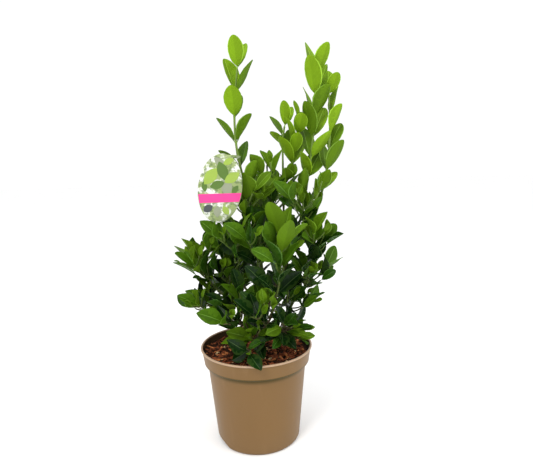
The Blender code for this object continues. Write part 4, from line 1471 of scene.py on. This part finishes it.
# Soil.
def chip_shape(name, length, width, depth, seed):
    """A rough sliver of bark with a broken outline."""
    chance = random.Random(seed)
    rings = []
    for i in range(CHIP_STATIONS):
        t = i / (CHIP_STATIONS - 1)
        broad = width * (0.5 + 0.5 * math.sin(math.pi * (0.2 + 0.6 * t))) * chance.uniform(*CHIP_BROAD)
        aside = chance.uniform(-CHIP_ASIDE, CHIP_ASIDE) * width
        x = (t - 0.5) * length + chance.uniform(-CHIP_SHIFT, CHIP_SHIFT) * length
        thick = depth * chance.uniform(*CHIP_THICK)
        rings.append([Vector((x, aside - broad / 2, 0.0)), Vector((x, aside, -thick * CHIP_BELLY)),
                      Vector((x, aside + broad / 2, thick * CHIP_SIDE)),
                      Vector((x, aside + broad * CHIP_RIDGE_OFF, thick * chance.uniform(*CHIP_RIDGE)))])
    return new_object(name, *joined_rings(rings), sharp=30.0)


def chips_tree(shapes, surfaces):
    """Scatters bark chips over a bed, with a share of them in each colour."""
    tree, given, result = new_group(
        "Bark Chips", "GeometryNodeTree",
        {"Density": 60000.0, "Least": 0.35, "Most": 1.0, "Tilt": 0.5, "Seed": 1})
    spots = add(tree, "GeometryNodeDistributePointsOnFaces",
                {"Mesh": given["Geometry"], "Density": given["Density"], "Seed": given["Seed"]})
    room = named(tree, "room", "FLOAT")
    crowded = add(tree, "FunctionNodeCompare", {0: room, 1: 0.5}, operation="LESS_THAN")
    kept = add(tree, "GeometryNodeDeleteGeometry",
               {"Geometry": spots.outputs["Points"], "Selection": crowded.outputs[0]}).outputs[0]
    backward = times(tree, given["Tilt"], -1.0)
    turn = random_value(tree, "FLOAT_VECTOR", vector_of(tree, backward, backward, 0.0),
                        vector_of(tree, given["Tilt"], given["Tilt"], 2 * math.pi), TURN_SEED)
    size = random_value(tree, "FLOAT", given["Least"], given["Most"], SIZE_SEED)
    kind = random_value(tree, "INT", 0, len(CHIP_SHAPES) - 1, KIND_SEED)
    laid = set_out(tree, kept, shapes, kind, turn, size)
    drawn = random_value(tree, "INT", 0, 99, COLOUR_SEED)
    marked = add(tree, "GeometryNodeStoreNamedAttribute",
                 {"Geometry": laid, "Name": "colour_share", "Value": drawn},
                 data_type="INT", domain="INSTANCE")
    geometry = realized(tree, marked.outputs[0])
    for limit, surface in surfaces:
        share = named(tree, "colour_share", "INT")
        geometry = painted(tree, geometry, surface, equal(tree, share, limit, "GREATER_EQUAL"))
    tree.links.new(geometry, result["Geometry"])
    return tree


def soil_bed(radius, surface):
    """The uneven top of the soil with a closed underside, and the room for chips marked on it."""
    points = [Vector((0.0, 0.0, SOIL_TOP))]
    for i in range(1, BED_RINGS + 1):
        for a in round_turns(BED_SIDES):
            reach = radius * i / BED_RINGS
            points.append(Vector((reach * math.cos(a), reach * math.sin(a), SOIL_TOP)))
    for point in points:
        lumps = sum(noise.noise(point * scale) * height for scale, height in BED_LUMPS)
        point.z += (lumps if point.to_2d().length < radius * BED_EDGE else 0.0) - BED_DROP
    faces = [(0, 1 + k, 1 + (k + 1) % BED_SIDES) for k in range(BED_SIDES)]
    for i in range(BED_RINGS - 1):
        low, high = 1 + i * BED_SIDES, 1 + (i + 1) * BED_SIDES
        for k in range(BED_SIDES):
            j = (k + 1) % BED_SIDES
            faces.append((low + k, high + k, high + j, low + j))
    rim, skirt = len(points) - BED_SIDES, len(points)
    points += [Vector((p.x * SKIRT_TAPER, p.y * SKIRT_TAPER, SOIL_TOP - SKIRT_DEPTH)) for p in points[rim:]]
    for k in range(BED_SIDES):
        j = (k + 1) % BED_SIDES
        faces.append((rim + k, skirt + k, skirt + j, rim + j))
    faces.append(tuple(reversed(range(skirt, skirt + BED_SIDES))))
    bed = new_object("soil_bed", points, faces, [surface], sharp=70.0)
    trunk = Vector(TRUNK_FOOT).to_2d()
    room = []
    for vertex in bed.data.vertices:
        flat = vertex.co.to_2d()
        off_wall = flat.length < radius - CHIPS_OFF_WALL
        off_stem = (flat - trunk).length > CHIPS_OFF_STEM
        room.append(float(off_wall and off_stem and vertex.co.z > CHIPS_LOWEST))
    set_attribute(bed.data, "room", "FLOAT", "POINT", room)
    return bed


class SPINDLE_OT_soil(bpy.types.Operator):
    """Lay the dark soil and its cover of bark chips"""

    bl_idname = "spindle.soil"
    bl_label = "Soil"

    def execute(self, context):
        settings = context.scene.spindle.soil
        low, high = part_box("soil")
        humus = mottled("humus", settings.humus, 0.9, patch=(90.0, 0.9), grain=(900.0, 0.9), height=0.0012,
                        specular=0.08)
        bed = soil_bed((high.x - low.x) / 2, humus)
        chips = []
        for i, shares in enumerate(CHIP_SHAPES):
            sizes = [share * settings.chip_length for share in shares]
            chips.append(chip_shape(f"chip_{i}", *sizes, CHIP_SEED + i))
        shapes = hidden_shapes("chip_shapes", chips)
        finish = dict(patch=(160.0, 0.7), grain=(1500.0, 0.6), height=0.0006, specular=0.08)
        surfaces = [(limit, mottled(f"chip_{name}", getattr(settings, name), roughness, **finish))
                    for name, limit, roughness in CHIP_COLOURS]
        cover = linked("bark_chips", bed.data.copy())
        run_tree(cover, chips_tree(shapes, surfaces), {"Density": settings.density, "Seed": settings.seed})
        discard(shapes)
        bed.data.attributes.remove(bed.data.attributes["room"])
        for piece in (bed, cover):
            stands_in(piece, "bark_mulch", ["soil"])
        return {"FINISHED"}


# Stem, boughs and shoots.
def limbs_tree(surface):
    """Turns paths into limbs: a round section swept along, ridged by noise, with closed ends."""
    tree, given, result = new_group(
        "Limbs", "GeometryNodeTree",
        {"Sides": 10, "Relief": 0.0, "Ridge Scale": 420.0, "Knot Scale": 90.0, "Seed": 3.0})
    lines = add(tree, "GeometryNodeMeshToCurve", {"Mesh": given["Geometry"]}).outputs[0]
    circle = add(tree, "GeometryNodeCurvePrimitiveCircle", {"Resolution": given["Sides"], "Radius": 1.0})
    swept = add(tree, "GeometryNodeCurveToMesh",
                {"Curve": lines, "Profile Curve": circle.outputs[0], "Scale": named(tree, "girth", "FLOAT"),
                 "Fill Caps": True}).outputs[0]
    where = add(tree, "GeometryNodeInputPosition").outputs[0]
    tall = vector_node(tree, "MULTIPLY", {0: where, 1: RIDGE_STRETCH})
    ridges, knots = (
        add(tree, "ShaderNodeTexNoise", {"Vector": vector, "Scale": given[scale], "Detail": detail,
                                         "W": given["Seed"]}, noise_dimensions="4D").outputs["Fac"]
        for vector, scale, detail in ((tall, "Ridge Scale", 3.0), (where, "Knot Scale", 1.0)))
    depth = times(tree, less(tree, math_node(tree, "ADD", ridges, knots), 1.0), given["Relief"])
    scaled = times(tree, depth, named(tree, "rough_share", "FLOAT"))
    normal = add(tree, "GeometryNodeInputNormal").outputs[0]
    offset = vector_node(tree, "SCALE", {0: normal, "Scale": scaled})
    moved = add(tree, "GeometryNodeSetPosition", {"Geometry": swept, "Offset": offset}).outputs[0]
    tree.links.new(painted(tree, realized(tree, moved), surface), result["Geometry"])
    return tree


def paths_object(name, lines):
    """A mesh of open lines, each a list of points with girth, depth of ridges and greenness."""
    edges, first = [], 0
    for line in lines:
        edges += [(first + i, first + i + 1) for i in range(len(line) - 1)]
        first += len(line)
    points, *columns = zip(*(row for line in lines for row in line))
    mesh = bpy.data.meshes.new(name)
    mesh.from_pydata(points, edges, [])
    for label, values in zip(("girth", "rough_share", "greenness"), columns):
        set_attribute(mesh, label, "FLOAT", "POINT", values)
    return linked(name, mesh)


def bark_material(settings):
    """Bark that turns from grey-brown to green along the limbs, with grain and pale breathing pores."""
    made, tree, shader = new_material("spindle_bark", 0.75, specular=0.15)
    where = place(tree)
    green = add(tree, "ShaderNodeAttribute", attribute_name="greenness").outputs["Fac"]
    patch = noise_node(tree, where, scale=130.0, detail=4.0)
    share = between(tree, math_node(tree, "ADD", green, patch), *BARK_TO_GREEN)
    old = mottle(tree, settings.bark, (170.0, 0.8), (1400.0, 0.5))
    new = mottle(tree, settings.green, (120.0, 0.4), (1500.0, 0.25))
    pores = add(tree, "ShaderNodeTexVoronoi", {"Vector": where, "Scale": 520.0}).outputs["Distance"]
    pore = between(tree, pores, *PORE_SIZE, PORE_SHARE, 0.0)
    fresh = mixed(tree, between(tree, green, *GREEN_TO_PALE), new["Colour"], settings.pale)
    wood = mixed(tree, share, old["Colour"], fresh)
    tree.links.new(mixed(tree, pore, wood, toned(settings.bark, *PORE_TONE)), shader.inputs["Base Color"])
    tree.links.new(between(tree, share, 0.0, 1.0, *BARK_ROUGHNESS), shader.inputs["Roughness"])
    stretched = add(tree, "ShaderNodeMapping", {"Vector": where, "Scale": GRAIN_STRETCH})
    grain = noise_node(tree, stretched.outputs[0], scale=900.0, detail=5.0)
    bump(tree, shader, grain, strength=0.6, distance=0.0004)
    return made


def greenness(z, share):
    """How green a limb is at a height: 0 is brown, 1 is green and 2 the pale green of the tall shoots."""
    return clamp((z - GREEN_FROM) / GREEN_REACH + GREEN_ALONG * share, 0.0, 2.0)


def trunk_line():
    """The stem's points, girths and tones, from just under the soil's top."""
    line = []
    for i in range(TRUNK_STEPS + 1):
        t = i / TRUNK_STEPS
        point, girth = trunk_at(t)
        sunk = Vector((0, 0, TRUNK_SUNK if i == 0 else 0.0))
        line.append((point - sunk, girth, TRUNK_RIDGES, greenness(point.z, t)))
    return line


def bough_line(row, plant):
    """A bough's points, girths and tones: it swells where it leaves its parent and at each bough on it."""
    limb = plant.limbs[row.name]
    leaving = [other for other in MASSES if other.parent == row.name and other.at < 1.0]
    steps = max(LEAST_STEPS, int((limb.fine[-1] - limb.fine[0]).length / LIMB_STEP))
    line = []
    for i in range(steps):
        t = i / (steps - 1)
        girth = value_at(limb.radii, t * (len(limb.radii) - 1))
        for other in leaving:
            girth += LIMB_TIP_RADIUS * FORK_SWELL * math.exp(-((t - other.at) / FORK_REACH) ** 2)
        line.append((on_path(limb.fine, t)[0], girth, t))
    if row.at < 1.0:
        point, girth, _ = line[0]
        line = [(limb.root, girth * ROOT_GIRTH, 0.0),
                (limb.root.lerp(point, FORK_AT), girth * FORK_GIRTH, 0.0)] + line
    return [(point, girth, BOUGH_RIDGES, greenness(point.z, t)) for point, girth, t in line]


def shoot_line(shoot):
    """A shoot's points, girths and tones, a little swollen at its nodes."""
    smooth = rounded_path(shoot.path, SHOOT_STEPS)
    fuller = TALL_SHOOT_GIRTH if shoot.mass in TALL else SHOOT_GIRTH
    line = []
    for i, point in enumerate(smooth):
        t = i / (len(smooth) - 1)
        node = NODE_SWELL * max(0.0, math.cos(2 * math.pi * t * NODES_ON_SHOOT)) ** NODE_POWER
        girth = (shoot.first + (shoot.last - shoot.first) * t) * (1.0 + node) * fuller
        line.append((point, girth, SHOOT_RIDGES, greenness(point.z, SHOOT_GREEN + SHOOT_GREEN * t)))
    return line


class SPINDLE_OT_branches(bpy.types.Operator):
    """Make the stem and the boughs with ridged bark, and the green shoots and twigs that go on from them"""

    bl_idname = "spindle.branches"
    bl_label = "Branches"

    def execute(self, context):
        settings = context.scene.spindle.branches
        plant = grown_plant()
        tree = limbs_tree(bark_material(settings))
        boughs = [trunk_line()] + [bough_line(row, plant) for row in MASSES]
        shoots = [shoot_line(shoot) for shoot in plant.shoots]
        pieces = (
            ("branches", boughs, settings.sides, "bark", ["trunk"] + [f"{row.name}_bough" for row in MASSES]),
            ("shoots", shoots, SHOOT_SIDES, "leaf", [f"{row.name}_leaves" for row in MASSES]),
        )
        for name, lines, sides, slot, nodes in pieces:
            piece = paths_object(name, lines)
            run_tree(piece, tree, {"Sides": sides, "Relief": settings.relief})
            finish_faces(piece.data, LIMB_SHARP)
            stands_in(piece, slot, nodes)
        return {"FINISHED"}


# Leaves.
def blade(name, blunt, broadest, lift, droop, aside, twist, wave):
    """A leaf blade of length and width 1 along +X, with its side marked on each face, and a UV map."""
    points = []
    for t in BLADE_STATIONS:
        share = max(0.0, (t - STALK_END) / (1.0 - STALK_END))
        broad = max(STALK_WIDTH, math.sin(math.pi * share ** broadest) ** blunt)
        turn = Matrix.Rotation(math.radians(twist) * t, 3, "X")
        centre = Vector((t, aside * math.sin(math.pi * t), -droop * t * t))
        for a in BLADE_ACROSS:
            ripple = wave * a * a * math.sin(WAVE_RATE * t + WAVE_STARTS[a > 0])
            sunk = RIB_SINK if abs(a) < 0.1 else 0.0
            rise = lift * abs(a) ** LIFT_POWER * broad + ripple * broad - sunk
            points.append(centre + turn @ Vector((0.0, a * broad / 2, rise)))
        points.append(centre + turn @ Vector((0.0, 0.0, -BLADE_THICKNESS - RIB_SINK)))
    tip = len(points)
    points.append(Vector((1.0, 0.0, -droop)))
    count = len(BLADE_ACROSS) + 1
    faces, sides = [], []
    rows = len(BLADE_STATIONS)
    for row in range(rows):
        low = row * count
        for k in range(count):
            j = (k + 1) % count
            if row < rows - 1:
                faces.append((low + k, low + j, low + count + j, low + count + k))
            else:
                faces.append((low + k, low + j, tip))
            stalk = BLADE_STATIONS[row] < STALK_END
            # Stalk, midrib and margins take the rib's paler tone; on the margins it is partly a painted
            # highlight.
            sides.append(RIB if stalk or k in RIB_AND_LIT_EDGE_STRIPS else (UPSIDE if k < count - 2 else UNDERSIDE))
    faces.append(tuple(reversed(range(count))))
    sides.append(RIB)
    made = new_object(name, points, faces)
    mesh = made.data
    set_attribute(mesh, "side", "INT", "FACE", sides)
    layer = mesh.uv_layers.new(name="UVMap")
    spots = [(0.5 + 0.5 * a, t) for t in BLADE_STATIONS for a in (*BLADE_ACROSS, 0.0)] + [(0.5, 1.0)]
    for loop in mesh.loops:
        layer.data[loop.index].uv = spots[loop.vertex_index]
    return made


def sprays_tree(blades, surfaces):
    """Puts a blade on each point, by the point's own turn, size and kind, and paints it by tint and side."""
    tree, given, result = new_group("Leaf Sprays", "GeometryNodeTree", {"Width Spread": 0.1, "Seed": 1})
    least = less(tree, 1.0, given["Width Spread"])
    most = math_node(tree, "ADD", 1.0, given["Width Spread"])
    vary = random_value(tree, "FLOAT_VECTOR", vector_of(tree, 1.0, least, 1.0),
                        vector_of(tree, 1.0, most, 1.0), given["Seed"])
    size = vector_node(tree, "MULTIPLY", {0: named(tree, "size", "FLOAT_VECTOR"), 1: vary})
    sprays = set_out(tree, given["Geometry"], blades, named(tree, "kind", "INT"),
                     named(tree, "turned", "QUATERNION"), size)
    geometry = realized(tree, sprays)
    for (tint, side), surface in surfaces.items():
        chosen = add(tree, "FunctionNodeBooleanMath", {0: equal(tree, named(tree, "tint", "INT"), tint),
                                                       1: equal(tree, named(tree, "side", "INT"), side)})
        geometry = painted(tree, geometry, surface, chosen.outputs[0])
    tree.links.new(geometry, result["Geometry"])
    return tree


def leaf_surfaces(settings):
    """The materials of each tint's upper side, midrib and underside."""
    found = {}
    for tint, (name, (rough, coat)) in enumerate(TINTS.items()):
        colour = tuple(getattr(settings, name))
        found[tint, UPSIDE] = leaf_material(f"leaf_{name}_upper", colour, rough, veins=0.24, patch=0.28,
                                            coat=coat, specular=0.07)
        found[tint, RIB] = mottled(f"leaf_{name}_rib", toned(colour, *RIB_TONE), 0.5, patch=(50.0, 0.25),
                                   grain=(700.0, 0.15), height=0.0001, specular=0.35)
        found[tint, UNDERSIDE] = leaf_material(f"leaf_{name}_under", toned(colour, *UNDER_TONE), 0.62,
                                               veins=0.12, patch=0.16, specular=0.06)
    return found


def leaf_tint(sprig, zone, chance):
    """A leaf's green: pale at the stem ends, dark low and inside the crown, partly as painted shade."""
    root = sprig.leaf.root
    ripeness, shift, base_riper = RIPENESS[zone]
    inside = 1.0 - min(1.0, Vector((root.x - CROWN_AXIS_X, root.y)).length / INSIDE_REACH)
    low = clamp((LOW_FROM - root.z) / LOW_REACH)
    # Darker low down and inside the crown: partly older leaves, partly painted shade.
    ripe = ripeness + low * (LOW_RIPER_AND_SHADE + INSIDE_RIPER_AND_SHADE * inside) + base_riper * (0.5 - sprig.share)
    # Some masses are made paler: painted light.
    ripe += chance.uniform(-shift, shift) - PALER_AS_PAINTED_LIGHT.get(sprig.mass, 0.0)
    if sprig.leaf.length < SMALL_LEAF:
        ripe -= SMALL_PALER
    if zone == "leaves_tall":
        return 2 if ripe > TALL_MIDDLE else (1 if ripe > TALL_YOUNG else 0)
    return clamp(int(1 + ripe * RIPE_STEPS), 1, len(TINTS) - 1)


def blade_kind(zone, chance):
    """Blunt blades on the tall shoots, and mostly pointed ones in the rest of the crown."""
    pointed = chance.random() < (0.0 if zone == "leaves_tall" else POINTED_SHARE)
    if pointed:
        return len(BLUNT_KINDS) + chance.randrange(len(POINTED_KINDS))
    return chance.randrange(len(BLUNT_KINDS))


def clear_scale(leaf, turn, kind, spread, standing):
    """The scale at which a leaf's blade, at its broadest, stays off the card and the limbs, or else 1."""
    faces = [tuple(face.vertices) for face in kind.data.polygons]
    for scale in CLEAR_SCALES:
        size = Vector((leaf.length, leaf.width * (1.0 + spread), leaf.length)) * scale
        points = [leaf.root + turn @ (vertex.co * size) for vertex in kind.data.vertices]
        drawn = BVHTree.FromPolygons(points, faces)
        if not any(drawn.overlap(tree) for tree in standing):
            return scale
    return 1.0


class SPINDLE_OT_leaves(bpy.types.Operator):
    """Grow the leaves on the shoots and twigs, spray by spray, in four pieces"""

    bl_idname = "spindle.leaves"
    bl_label = "Leaves"

    def execute(self, context):
        settings = context.scene.spindle.leaves
        tag = context.scene.spindle.tag
        plant = grown_plant()
        standing = [BVHTree.FromPolygons(*card_shape(tag.thickness + 2 * LEAF_CLEAR, tag.bow))]
        standing += [limb.tree for limb in plant.limbs.values()]
        kinds = [blade(f"blade_{i}", *kind) for i, kind in enumerate(BLUNT_KINDS + POINTED_KINDS)]
        blades = hidden_shapes("blades", kinds)
        tree = sprays_tree(blades, leaf_surfaces(settings))
        for name, masses in ZONES.items():
            chance = random.Random(settings.seed + len(masses))
            rows = []
            for sprig in plant.sprigs:
                if sprig.mass not in masses:
                    continue
                leaf = sprig.leaf
                across = leaf.normal.cross(leaf.along).normalized()
                turn = Matrix((leaf.along, across, leaf.along.cross(across))).transposed().to_quaternion()
                kind = blade_kind(name, chance)
                scale = clear_scale(leaf, turn, kinds[kind], settings.spread, standing)
                size = (leaf.length * scale, leaf.width * scale, leaf.length * scale)
                rows.append((leaf.root, turn, size, kind, leaf_tint(sprig, name, chance)))
            roots, *columns = zip(*rows)
            mesh = bpy.data.meshes.new(name)
            mesh.from_pydata(roots, [], [])
            for (label, value_type), values in zip(LEAF_ATTRIBUTES, columns):
                set_attribute(mesh, label, value_type, "POINT", values)
            piece = linked(name, mesh)
            run_tree(piece, tree, {"Width Spread": settings.spread, "Seed": settings.seed})
            stands_in(piece, "leaf", [f"{mass}_leaves" for mass in masses])
        discard(blades)
        return {"FINISHED"}


# Tag.
def card_material(settings):
    """The card's white, with clouds of the pale green print all over it."""
    made, tree, shader = new_material("card_print", CARD_ROUGHNESS, coat=0.3)
    tones = mottle(tree, settings.card, (60.0, 0.06), (900.0, 0.04))
    where = place(tree)
    cloud = between(tree, noise_node(tree, where, scale=95.0, detail=4.0), *CLOUD_EDGES, 0.0, CLOUD_SHARE)
    dark = between(tree, noise_node(tree, where, scale=170.0, detail=3.0), *DARK_EDGES, 0.0, DARK_SHARE)
    printed = mixed(tree, cloud, tones["Colour"], settings.cloud)
    tree.links.new(mixed(tree, dark, printed, settings.shade), shader.inputs["Base Color"])
    return made


def by_tag(x, y, z):
    """A point beside the middle of the tag, in its leaning frame: x across, y out of its plane, z up it."""
    return Vector(TAG_CENTRE) + Matrix.Rotation(math.radians(TAG_LEAN), 3, "Y") @ Vector((x, y, z))


def on_card(x, y, z, bow):
    """A point of the card, which bends back towards its sides."""
    return by_tag(x, y + bow * (x / (TAG_WIDTH / 2)) ** 2, z)


def card_shape(thickness, bow):
    """The oval card, with a rounded edge."""
    half = thickness / 2
    edge = [(-half * 0.5, CARD_EDGE), (0.0, 1.0), (half * 0.5, CARD_EDGE)]
    sizes = [(-half, s) for s in CARD_RINGS] + edge + [(half, s) for s in reversed(CARD_RINGS)]
    rings = []
    for y, size in sizes:
        across, up = TAG_WIDTH / 2 * size, TAG_HEIGHT / 2 * size
        turns = round_turns(CARD_SIDES)
        rings.append([on_card(across * math.cos(a), y, up * math.sin(a), bow) for a in turns])
    return joined_rings(rings)


def inlay(strips, settings, lift):
    """A thin printed patch on the card's front, from strips of points across it with their top and foot."""
    front = -settings.thickness / 2
    out, back = front - lift, front + PRINT_SUNK
    rings = []
    for x_top, z_top, x_foot, z_foot in strips:
        corners = ((x_top, out, z_top), (x_foot, out, z_foot), (x_foot, back, z_foot), (x_top, back, z_top))
        rings.append([on_card(*corner, settings.bow) for corner in corners])
    return joined_rings(rings)


def leaf_print(centre, length, width, turn):
    """The strips of a printed leaf shape, turned about its middle in the card's plane."""
    cos, sin = math.cos(math.radians(turn)), math.sin(math.radians(turn))
    strips = []
    for i in range(PRINT_STATIONS + 1):
        t = i / PRINT_STATIONS
        half = max(PRINT_LEAST, math.sin(math.pi * t) ** PRINT_BLUNT) * width / 2
        x = (t - 0.5) * length
        strips.append((centre[0] + x * cos - half * sin, centre[1] + x * sin + half * cos,
                       centre[0] + x * cos + half * sin, centre[1] + x * sin - half * cos))
    return strips


def band_print(top, foot, slope):
    """The strips of a band right across the card, between two heights."""
    strips = []
    for i in range(BAND_STATIONS + 1):
        f = 2 * i / BAND_STATIONS - 1
        strip = []
        for z in (top, foot):
            z_here = z
            for _ in range(3):
                level = max(0.0, 1 - (z_here / (TAG_HEIGHT / 2)) ** 2)
                reach = TAG_WIDTH / 2 * math.sqrt(level) * BAND_END
                z_here = z + slope * f * reach
            strip += [f * reach, z_here]
        strips.append(tuple(strip))
    return strips


def strap_shape(stem):
    """The tag's strap: level from the top of the card to the stem, and hooked round it."""
    heights = [point.z for point in stem]
    above = next(i for i, z in enumerate(heights) if z > STRAP_HEIGHT)
    share = (STRAP_HEIGHT - heights[above - 1]) / (heights[above] - heights[above - 1])
    middle = stem[above - 1].lerp(stem[above], share)
    card_top = by_tag(0, 0, TAG_HEIGHT / 2)
    start = Vector((card_top.x - STRAP_WIDTH, card_top.y, STRAP_HEIGHT))
    hook = [math.radians(a) for a in STRAP_HOOK]
    turns = [Vector((math.cos(a), math.sin(a), 0)) * STRAP_BEND + middle for a in hook]
    corner = Vector((turns[0].x, start.y, STRAP_HEIGHT))
    route = curve(start, corner, turns[0], STRAP_STEPS) + rounded_path(turns, HOOK_STEPS)[1:]
    route = [Vector((point.x, point.y, STRAP_HEIGHT)) for point in route]
    up = Vector((0, 0, STRAP_WIDTH / 2))
    shoulder = up * STRAP_SHOULDER
    rings = []
    for i, point in enumerate(route):
        along = (route[min(i + 1, len(route) - 1)] - route[max(i - 1, 0)]).normalized()
        out = Vector((-along.y, along.x, 0)) * STRAP_HALF_THICKNESS
        rings.append([point - out - shoulder, point - up, point + out - shoulder,
                      point + out + shoulder, point + up, point - out + shoulder])
    return joined_rings(rings)


class SPINDLE_OT_tag(bpy.types.Operator):
    """Make the oval card with plain leaf shapes and a band, and the strap that holds it"""

    bl_idname = "spindle.tag"
    bl_label = "Tag"

    def execute(self, context):
        settings = context.scene.spindle.tag
        finish = dict(patch=(60.0, 0.06), grain=(900.0, 0.04), height=0.00004, coat=0.3)
        surfaces = [card_material(settings)]
        surfaces += [mottled(f"card_{name}", ink, CARD_ROUGHNESS, **finish)
                     for name, ink in (("band", settings.band), *INKS.items())]
        inks = list(INKS)
        *band, band_lift = BAND
        shapes = [(0, card_shape(settings.thickness, settings.bow)),
                  (1, inlay(band_print(*band), settings, band_lift))]
        for ink, centre, length, width, turn, lift in LEAF_PRINTS:
            strips = leaf_print(centre, length, width, turn)
            shapes.append((2 + inks.index(ink), inlay(strips, settings, lift)))
        shapes.append((0, strap_shape(grown_plant().stems["left_tall"])))
        points, faces, faces_of = [], [], []
        for surface, (more_points, more_faces) in shapes:
            first = len(points)
            points += more_points
            faces += [tuple(first + i for i in face) for face in more_faces]
            faces_of += [surface] * len(more_faces)
        tag = new_object("plant_tag", points, faces, surfaces, sharp=50.0)
        tag.data.polygons.foreach_set("material_index", faces_of)
        stands_in(tag, "tag_card", ["tag"])
        return {"FINISHED"}


# Stage.
def new_light(name, spot, aim, size, power, colour):
    """A square soft light that shines from a spot towards a point."""
    light = bpy.data.lights.new(name, "AREA")
    light.size = size
    light.energy = power
    light.color = colour
    made = linked(name, light)
    made.location = spot
    made.rotation_euler = (Vector(aim) - Vector(spot)).to_track_quat("-Z", "Y").to_euler()


def new_camera(lens):
    """The camera, at the photograph's viewing angle."""
    made = bpy.data.cameras.new("camera")
    made.lens = lens
    made.sensor_width = SENSOR_WIDTH
    camera = linked("camera", made)
    yaw, pitch, roll = (math.radians(a) for a in (CAMERA_YAW, CAMERA_PITCH, CAMERA_ROLL))
    forward = Vector((math.sin(yaw) * math.cos(pitch), math.cos(yaw) * math.cos(pitch), -math.sin(pitch)))
    right = Vector((math.cos(yaw), -math.sin(yaw), 0.0))
    up = right.cross(forward)
    x_axis = right * math.cos(roll) + up * math.sin(roll)
    y_axis = up * math.cos(roll) - right * math.sin(roll)
    turn = Matrix((x_axis, y_axis, -forward)).transposed()
    camera.matrix_world = Matrix.Translation(CAMERA_AT) @ turn.to_4x4()
    return camera


def new_world(settings):
    """White surroundings: even to the camera, but with less light from the sides than from above."""
    world = bpy.data.worlds.new("surroundings")
    world.use_nodes = True
    tree = world.node_tree
    background = tree.nodes["Background"]
    background.inputs["Color"].default_value = (1.0, 1.0, 1.0, 1.0)
    ray = add(tree, "ShaderNodeLightPath").outputs["Is Camera Ray"]
    upward = add(tree, "ShaderNodeSeparateXYZ", {0: add(tree, "ShaderNodeTexCoord").outputs["Generated"]})
    dome = between(tree, upward.outputs["Z"], 0.0, DOME_TOP, settings.horizon, settings.zenith)
    strength = add(tree, "ShaderNodeMix", {"Factor": ray, 2: dome, 3: settings.backdrop}, data_type="FLOAT")
    tree.links.new(strength.outputs[0], background.inputs["Strength"])
    return world


class SPINDLE_OT_stage(bpy.types.Operator):
    """Set the pale floor, the white surroundings, the soft lights and the camera"""

    bl_idname = "spindle.stage"
    bl_label = "Stage"

    def execute(self, context):
        settings = context.scene.spindle.stage
        far = FLOOR_REACH
        corners = [Vector((x, y, 0.0)) for x, y in ((-far, -far), (far, -far), (far, far), (-far, far))]
        finish = mottled("pale_floor", settings.floor, 0.7, patch=(1.5, 0.02), grain=(40.0, 0.01))
        new_object("floor", corners, [(0, 1, 2, 3)], [finish])
        context.scene.world = new_world(settings)
        new_light("key_light", *KEY_LIGHT, settings.key, KEY_COLOUR)
        new_light("fill_light", *FILL_LIGHT, settings.fill, FILL_COLOUR)
        context.scene.camera = new_camera(settings.lens)
        context.scene.view_settings.view_transform = "Standard"
        return {"FINISHED"}


class SPINDLE_PT_panel(bpy.types.Panel):
    """The pieces of the potted spindle and their settings"""

    bl_idname = "SPINDLE_PT_panel"
    bl_label = "Potted Spindle"
    bl_space_type = "VIEW_3D"
    bl_region_type = "UI"
    bl_category = "Spindle"

    def draw(self, context):
        settings = context.scene.spindle
        for name in ("pot", "soil", "branches", "leaves", "tag", "stage"):
            box = self.layout.box()
            box.operator(f"spindle.{name}")
            group = getattr(settings, name)
            for key in group.__annotations__:
                box.prop(group, key)


CLASSES = (
    PotSettings, SoilSettings, BranchSettings, LeafSettings, TagSettings, StageSettings, SpindleSettings,
    SPINDLE_OT_pot, SPINDLE_OT_soil, SPINDLE_OT_branches, SPINDLE_OT_leaves, SPINDLE_OT_tag, SPINDLE_OT_stage,
    SPINDLE_PT_panel,
)


def register():
    """Makes the classes and the settings known to Blender."""
    for cls in CLASSES:
        bpy.utils.register_class(cls)
    bpy.types.Scene.spindle = PointerProperty(type=SpindleSettings)


def unregister():
    """Takes the settings and the classes out again."""
    del bpy.types.Scene.spindle
    for cls in reversed(CLASSES):
        bpy.utils.unregister_class(cls)


def main():
    """Makes every piece and the stage."""
    register()
    bpy.ops.spindle.stage()
    bpy.ops.spindle.pot()
    bpy.ops.spindle.soil()
    bpy.ops.spindle.branches()
    bpy.ops.spindle.leaves()
    bpy.ops.spindle.tag()


if __name__ == "__main__":
    main()
